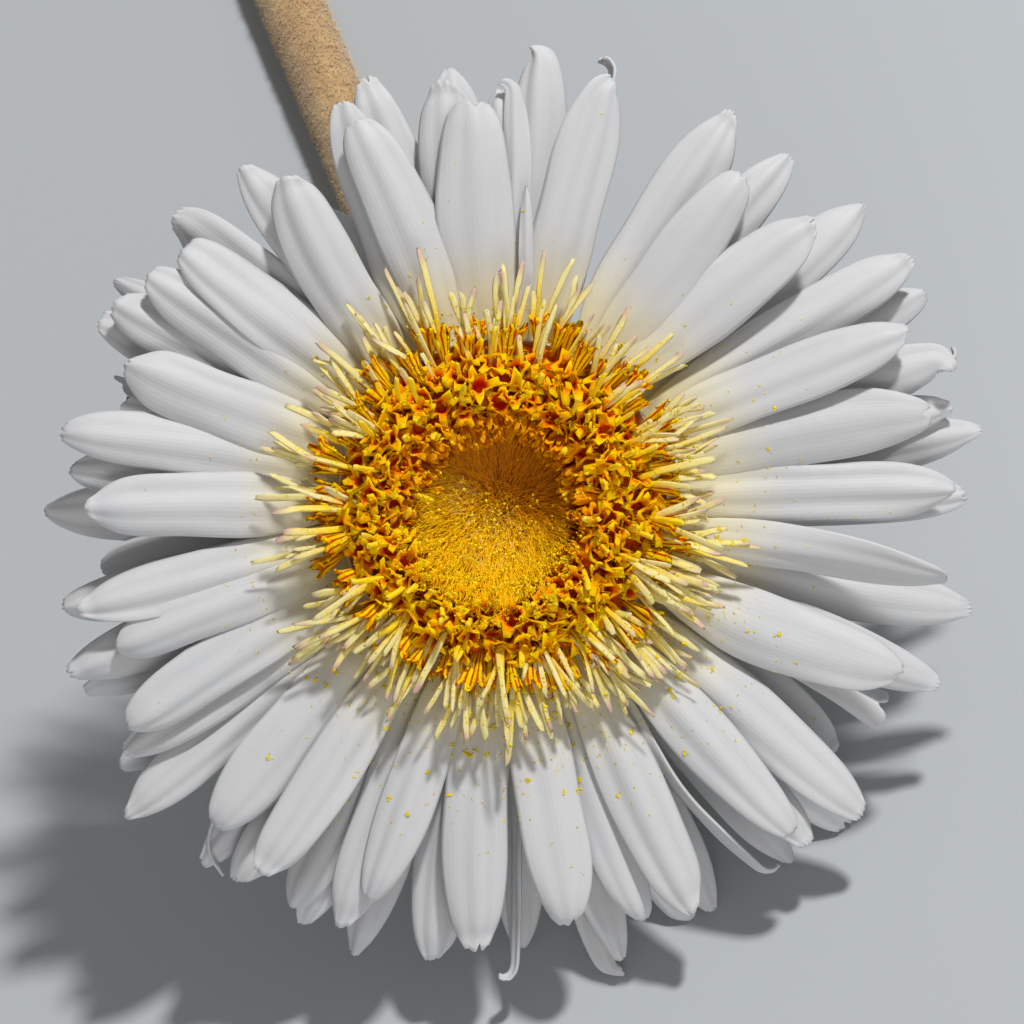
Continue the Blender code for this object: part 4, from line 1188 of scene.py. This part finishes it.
def fuzz(name: str, target: bpy.types.Object, count: int, length: float, finish: FuzzFinish,
         floor: float = -math.inf) -> bpy.types.Object:
    """Covers a piece with short loose hairs, evenly by area.

    Args:
        name: The new piece's name.
        target: The piece that they stand on.
        count: How many there are.
        length: The longest one's length in millimetres.
        finish: Their finish.
        floor: No hair goes below this height.

    Returns:
        The hairs, as one piece.
    """
    draw = np.random.default_rng(count)
    faces = target.data.polygons
    places = np.array([vert.co for vert in target.data.vertices])
    normals = np.array([face.normal for face in faces])
    areas = np.array([face.area for face in faces])
    chosen = draw.choice(len(faces), count, p=areas / areas.sum())
    feet = np.array([draw.dirichlet(np.ones(faces[i].loop_total)) @ places[list(faces[i].vertices)] for i in chosen])
    aim = normals[chosen] + draw.normal(0, 0.65, (count, 3))
    aim *= (draw.uniform(0.4, 1, count) * length * MM / np.linalg.norm(aim, axis=1))[:, None]
    tips = feet + aim
    thick = np.full(count, 0.032 * MM)
    for ends in (feet, tips):
        ends[:, 2] = np.maximum(ends[:, 2], floor + thick)
    piece = spikes(name, feet, tips, thick)
    piece.data.materials.append(finish.make())
    return piece


def joined(name: str, casts: Sequence[bpy.types.Object], material: bpy.types.Material) -> bpy.types.Object:
    """Joins casts into one piece with one material."""
    deselect()
    for cast in casts:
        cast.select_set(True)
    bpy.context.view_layer.objects.active = casts[0]
    bpy.ops.object.join()
    piece = bpy.context.object
    piece.name = name
    piece.data.materials.clear()
    piece.data.materials.append(material)
    return piece


def turned(name: str, profile: Sequence[tuple[float, float]], steps: int) -> bpy.types.Object:
    """Turns a closed section about the head's axis with the spin operator.

    Args:
        name: The piece's name.
        profile: The section as (radius, height) in millimetres.
        steps: How many steps make the turn.

    Returns:
        The turned piece, in metres and smooth shaded.
    """
    mesh = bpy.data.meshes.new(name)
    points = [(r * MM, 0, z * MM) for r, z in profile]
    mesh.from_pydata(points, [(i, i + 1) for i in range(len(points) - 1)], [])
    piece = bpy.data.objects.new(name, mesh)
    bpy.context.scene.collection.objects.link(piece)
    deselect()
    piece.select_set(True)
    bpy.context.view_layer.objects.active = piece
    pick(piece, lambda co: True)
    bpy.ops.mesh.spin(steps=steps, angle=math.tau, center=(0, 0, 0), axis=(0, 0, 1))
    bpy.ops.mesh.select_all(action="SELECT")
    bpy.ops.mesh.remove_doubles(threshold=0.00001)
    bpy.ops.mesh.normals_make_consistent(inside=False)
    done(piece)
    bpy.ops.object.shade_smooth_by_angle(angle=math.radians(50))
    return piece


# The felted cup

@dataclass
class Involucre:
    """The felted cup: a solid receptacle under rows of overlapping pointed bracts."""

    lie: Lie
    radius: float = 14.2
    stem_radius: float = 2.6
    depth: float = 16.0
    rows: int = 7
    bracts: int = 19
    hairs: int = 14000
    seed: int = 5

    def side(self, height: float) -> float:
        """The cup's outer radius in millimetres at a height below the rays."""
        down = min(max(-height / self.depth, 0), 1)
        return self.stem_radius + (self.radius - self.stem_radius) * (1 - down ** 2.6) ** 0.62

    def model_bract(self) -> Mould:
        """Models one bract, a unit long each way from its middle: a keeled scale that ends in a point."""
        deselect()
        bpy.ops.mesh.primitive_grid_add(x_subdivisions=8, y_subdivisions=4, size=2)
        bract = bpy.context.object
        pick(bract, lambda co: abs(co.y) < 0.1)
        bpy.ops.transform.translate(value=(0, 0, 0.25))
        pick(bract, lambda co: abs(co.y) > 0.9)
        bpy.ops.transform.translate(value=(0, 0, -0.2))
        for x, spread in ((0.0, 0.95), (0.25, 0.82), (0.5, 0.6), (0.75, 0.32), (1.0, 0.03), (-1.0, 0.7)):
            pick(bract, lambda co: abs(co.x - x) < 0.05)
            bpy.ops.transform.resize(value=(1, spread, 1), center_override=(x, 0, 0))
        return Mould(subdivided(bract, 1))

    def build(self, finish: BractFinish, loose: FuzzFinish) -> list[bpy.types.Object]:
        """Builds the receptacle, its bracts and their loose hairs.

        Args:
            finish: The felt.
            loose: The loose hairs' finish.

        Returns:
            The pieces.
        """
        draw = np.random.default_rng(self.seed)
        mould = self.model_bract()
        copies = []
        for row in range(self.rows):
            count = self.bracts - row
            for i in range(count):
                clock = 360 * (i + 0.5 * (row % 2) + draw.uniform(-0.12, 0.12)) / count
                tip = 0.6 - 1.95 * row + draw.uniform(-0.3, 0.3)
                heights = np.linspace(tip - 5.4, tip, 12)
                radii = np.array([self.side(h) for h in heights]) - 0.2 + np.linspace(-0.5, 0.55, 12)
                points = clock_direction(clock) * radii[:, None]
                points[:, 2] = heights
                line = Ribbon(points * MM, clock_direction(clock), draw.uniform(-0.08, 0.08))
                shape = mould.points
                wide = draw.uniform(1.5, 1.85) * MM
                copies.append(line.lay((shape[:, 0] + 1) / 2, shape[:, 1] * wide, shape[:, 2] * MM))
        bracts = mould.cast("involucre_bracts", copies, own=draw.uniform(0, 1, len(copies)))
        deselect()
        bracts.select_set(True)
        bpy.context.view_layer.objects.active = bracts
        wall = bracts.modifiers.new("Wall", "SOLIDIFY")
        wall.thickness, wall.offset = 0.35 * MM, -1
        bpy.ops.object.modifier_apply(modifier=wall.name)
        heights = np.linspace(-0.4, -self.depth, 14)
        profile = [(0, -0.9), (11.8, -0.9), *[(self.side(h) - 0.9, h) for h in heights[:-1]],
                   (self.stem_radius, -self.depth), (0, -self.depth)]
        core = turned("involucre_receptacle", profile, 64)
        material = finish.make()
        for piece in (bracts, core):
            piece.data.materials.append(material)
        return [bracts, core, fuzz("involucre_fuzz", bracts, self.hairs, 0.8, loose)]


# The stem

@dataclass
class Stem:
    """The stout felted stem, with a plainly cut end."""

    lie: Lie
    hairs: int = 22000

    def build(self, felt: FeltFinish, cut: Sequence[FeltFinish], loose: FuzzFinish) -> list[bpy.types.Object]:
        """Models the stem as a long cylinder, and lays it along its line in the world.

        Args:
            felt: The felt of its side.
            cut: The finishes of the cut end, from its rind to its pith.
            loose: The loose hairs' finish.

        Returns:
            The stem and its loose hairs.
        """
        deselect()
        bpy.ops.mesh.primitive_cylinder_add(vertices=40, radius=1, depth=2, rotation=(0, math.pi / 2, 0),
                                            end_fill_type="NGON")
        stem = bpy.context.object
        stem.name = "stem_felted"
        bpy.ops.object.transform_apply(location=True, rotation=True, scale=True)
        bpy.ops.object.mode_set(mode="EDIT")
        for i in range(1, 150):
            bpy.ops.mesh.select_all(action="SELECT")
            bpy.ops.mesh.bisect(plane_co=(-1 + i / 75, 0, 0), plane_no=(1, 0, 0))
        bpy.ops.mesh.select_all(action="DESELECT")
        pick(stem, lambda co: co.x > 0.999)
        bpy.ops.mesh.select_mode(type="FACE")
        for thickness in (0.09, 0.05, 0.3):
            bpy.ops.mesh.inset(thickness=thickness)
        bpy.ops.object.mode_set(mode="OBJECT")
        mould = Mould(stem)
        t = (mould.points[:, 0] + 1) / 2
        line = Ribbon(self.lie.stem_line(), np.array([0.0, 0.0, 1.0]))
        steps = np.linalg.norm(np.diff(line.points, axis=0), axis=1)
        along = np.concatenate([[0], np.cumsum(steps)]) / steps.sum()
        t = np.interp(t, along, np.linspace(0, 1, len(along)))
        radius = self.lie.stem_radius + (self.lie.stem_end_radius - self.lie.stem_radius) * np.clip(t / 0.4, 0, 1)
        angle = np.arctan2(mould.points[:, 2], mould.points[:, 1])
        ribs = 1 + 0.012 * np.cos(9 * angle + 4 * t) + 0.012 * np.sin(23 * t) * np.sin(2 * angle + 1)
        points = line.lay(t, mould.points[:, 1] * radius * ribs, mould.points[:, 2] * radius * ribs)
        points[:, 2] = np.maximum(points[:, 2], 0.01 * MM)
        points += np.array(self.lie.shift())
        mould.wrap((angle / math.tau) % 1, t)
        piece = mould.cast("stem_felted", [points])
        for finish in (felt, *cut):
            piece.data.materials.append(finish.make())
        end = points[:, 1].max()
        heart = Vector(line.points[-1]) + self.lie.shift()
        for face in piece.data.polygons:
            if face.center.y > end - 0.01 * MM:
                far = max((piece.data.vertices[i].co - heart).length for i in face.vertices)
                face.material_index = 1 + int(far < 0.95 * self.lie.stem_end_radius) + int(far < 1.8 * MM)
                face.use_smooth = False
        return [piece, fuzz("stem_fuzz", piece, self.hairs, 0.8, loose, 0.005 * MM)]


# The studio

@dataclass
class Studio:
    """A plain pale floor, soft light mostly from the picture's top, and the photograph's camera."""

    lie: Lie
    distance: float = 400 * MM
    view_width: float = 81.92 * MM
    centre: tuple[float, float] = (0.72 * MM, -0.72 * MM)

    def build(self) -> None:
        """Builds the floor, the lights, the world and the camera."""
        head = self.lie.matrix()
        bpy.ops.mesh.primitive_plane_add(size=6)
        floor = bpy.context.object
        floor.name = "floor"
        material = bpy.data.materials.new("pale_paper_sweep")
        material.use_nodes = True
        shader = material.node_tree.nodes["Principled BSDF"]
        shader.inputs["Base Color"].default_value = linear("#b2b6b9")
        shader.inputs["Roughness"].default_value = 0.95
        floor.data.materials.append(material)
        for name, place, size, power in (("key", (0.10, 0.47, 0.35), 0.06, 3.25),
                                         ("fill", (0.08, -0.40, 0.48), 0.5, 1.45)):
            light = bpy.data.lights.new(name, "AREA")
            light.shape, light.size, light.energy = "DISK", size, power
            lamp = bpy.data.objects.new(name, light)
            spot = head @ Vector(place)
            aim = head @ Vector((0, 0, 0))
            lamp.matrix_world = Matrix.Translation(spot) @ (aim - spot).to_track_quat("-Z", "Y").to_matrix().to_4x4()
            bpy.context.scene.collection.objects.link(lamp)
        world = bpy.data.worlds.new("soft_sky")
        world.use_nodes = True
        world.node_tree.nodes["Background"].inputs[0].default_value = linear("#f0f1f3")
        world.node_tree.nodes["Background"].inputs[1].default_value = 0.26
        bpy.context.scene.world = world
        camera = bpy.data.cameras.new("camera")
        camera.sensor_width = 36
        camera.lens = 36 * self.distance / self.view_width
        camera.clip_start = 0.01
        eye = bpy.data.objects.new("camera", camera)
        eye.matrix_world = head @ Matrix.Translation((*self.centre, self.distance + 4 * MM))
        bpy.context.scene.collection.objects.link(eye)
        bpy.context.scene.camera = eye
        bpy.context.scene.view_settings.view_transform = "Standard"


def pollen(targets: Sequence[bpy.types.Object], finish: GrainFinish) -> bpy.types.Object:
    """Drops pollen in small clumps on the front of the florets, the bowl, the straps and the rays.

    Args:
        targets: The pieces, still in the head's frame, that it may fall on.
        finish: Its finish.

    Returns:
        The pollen, as one piece.
    """
    draw = np.random.default_rng(11)
    trees = [BVHTree.FromPolygons([v.co for v in t.data.vertices], [p.vertices for p in t.data.polygons])
             for t in targets]
    deselect()
    bpy.ops.mesh.primitive_ico_sphere_add(subdivisions=1, radius=1)
    mould = Mould(bpy.context.object)
    copies = []

    def drop(clock: float, radius: float, spread: float, grains: int, low: float, high: float) -> None:
        """Drops one clump of grains about a place, with their radii between two sizes in millimetres."""
        middle = clock_direction(clock) * radius
        for _ in range(grains):
            at = (middle + draw.normal(0, spread, 3)) * MM
            hits = [tree.ray_cast(Vector((at[0], at[1], 30 * MM)), Vector((0, 0, -1)))[0] for tree in trees]
            hits = [hit for hit in hits if hit]
            if hits:
                hit = max(hits, key=lambda place: place.z)
                size = draw.uniform(low, high) * MM
                stretch = draw.uniform(0.7, 1.4, 3)
                copies.append(mould.points * size * stretch + np.array([hit.x, hit.y, hit.z + size * 0.3]))

    for _ in range(700):
        low = draw.uniform(0, 1) < 0.75
        drop(draw.normal(165, 48) if low else draw.uniform(0, 360), 14.5 + abs(draw.normal(0, 6)), 0.08,
             int(draw.integers(1, 4)), 0.035, 0.07)
    for _ in range(54):
        drop(draw.normal(165, 45), 16 + abs(draw.normal(0, 5)), 0.11, int(draw.integers(5, 14)), 0.05, 0.1)
    for _ in range(1100):
        drop(draw.uniform(0, 360), draw.uniform(6.8, 16.0), 0.14, int(draw.integers(1, 5)), 0.04, 0.1)
    for _ in range(480):
        drop(draw.normal(200, 50), 7.2 * math.sqrt(draw.uniform(0, 1)), 0.2, int(draw.integers(1, 5)), 0.05, 0.13)
    for _ in range(240):
        drop(draw.normal(195, 42), draw.uniform(6.4, 10.0), 0.25, int(draw.integers(2, 6)), 0.04, 0.11)
    piece = mould.cast("pollen", copies, own=draw.uniform(0, 1, len(copies)))
    piece.data.materials.append(finish.make())
    return piece


def install(pieces: Sequence[bpy.types.Object], node: str) -> None:
    """Makes pieces ride on the flower and stand for one of the frame's nodes, and reports them.

    Args:
        pieces: The pieces, in the world.
        node: The node that they replace.
    """
    for piece in pieces:
        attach(piece, "root")
        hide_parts(node)
        piece.data.calc_loop_triangles()
        LOG.info("%s: %d triangles, for node %s", piece.name, len(piece.data.loop_triangles), node)


def main() -> None:
    """Builds the flower around its frame, then the studio."""
    logging.basicConfig(level=logging.INFO, format="%(name)s %(message)s", stream=sys.stdout)
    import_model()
    lie = Lie()
    draw = np.random.default_rng(7)
    disc = Disc(lie)
    gold = FloretFinish("golden_disc_floret", "#fccc00", gloss=0.05)
    rays = RayFlorets(lie).build(PetalFinish("white_ray_petal", "#cccbca"))
    places = disc.places(draw)
    florets = disc.build_florets(places, gold, draw)
    straps = disc.build_styles(places, StrapFinish("pale_style_branch", "#ecdc98"), draw)
    # Painted shade: the bed under the florets is a deep orange, the colour of the shade in the gaps between them
    mound = disc.build_core("disc_florets_mound",
                            [(5.6, 2.6), (6.6, 4.5), (8.4, 5.8), (10.6, 5.6), (12.5, 4.6), (12.9, 3.6), (5.6, 2.0),
                             (5.6, 2.6)],
                            FeltFinish("floret_tube_bed_gap_shade", "#ff8410", "#e05a00", sheen=0.0, gloss=0.05))
    down = disc.build_core("disc_florets_down", [(5.8, 1.9), (12.2, 3.4), (13.1, 4.3), (13.3, 3.2), (11.9, 0.0), (5.8, 0.0),
                            (5.8, 1.9)],
                           FeltFinish("pale_bristle_down", "#e6dcb4", "#b49e68"))
    buds = disc.build_buds(FloretFinish("golden_closed_bud", "#ffa400", gloss=0.08), draw)
    hairs = disc.build_hairs(HairFinish("brown_floret_hair", "#b04c00", gloss=0.1), draw)
    bowl = disc.build_core("bud_centre_bed", [(0, 2.0), (3, 2.3), (5.4, 3.0), (5.5, 0.0), (0, 0.0)],
                           FeltFinish("hairy_bud_bed", "#d47408", "#8c4200", sheen=0.0, gloss=0.05))
    dust = pollen([*rays, florets, straps, buds, hairs], GrainFinish("golden_pollen", "#f6de18"))
    cup = Involucre(lie).build(BractFinish("buff_bract_felt", "#cdb48a"), FuzzFinish("buff_loose_hair", "#dcc8a2"))
    for piece in (*rays, florets, straps, mound, down, buds, hairs, bowl, dust, *cup):
        lie.settle(piece)
    install(rays, "ray_florets")
    install([florets, straps, mound, down, dust], "disc_florets")
    install([buds, hairs, bowl], "bud_centre")
    install(cup, "involucre")
    cut = (FeltFinish("cut_stem_rind", "#7d8250", "#5d5a34", sheen=0.0),
           FeltFinish("cut_stem_wood", "#c9c68c", "#a8a468", sheen=0.0),
           FeltFinish("cut_stem_pith", "#ece8d2", "#d4cfae", sheen=0.0))
    stem = Stem(lie).build(FeltFinish("tan_stem_felt", "#dab680", "#a8845a"), cut, FuzzFinish("tan_loose_hair", "#e6cba2"))
    install(stem, "stem")
    Studio(lie).build()


if __name__ == "__main__":
    main()
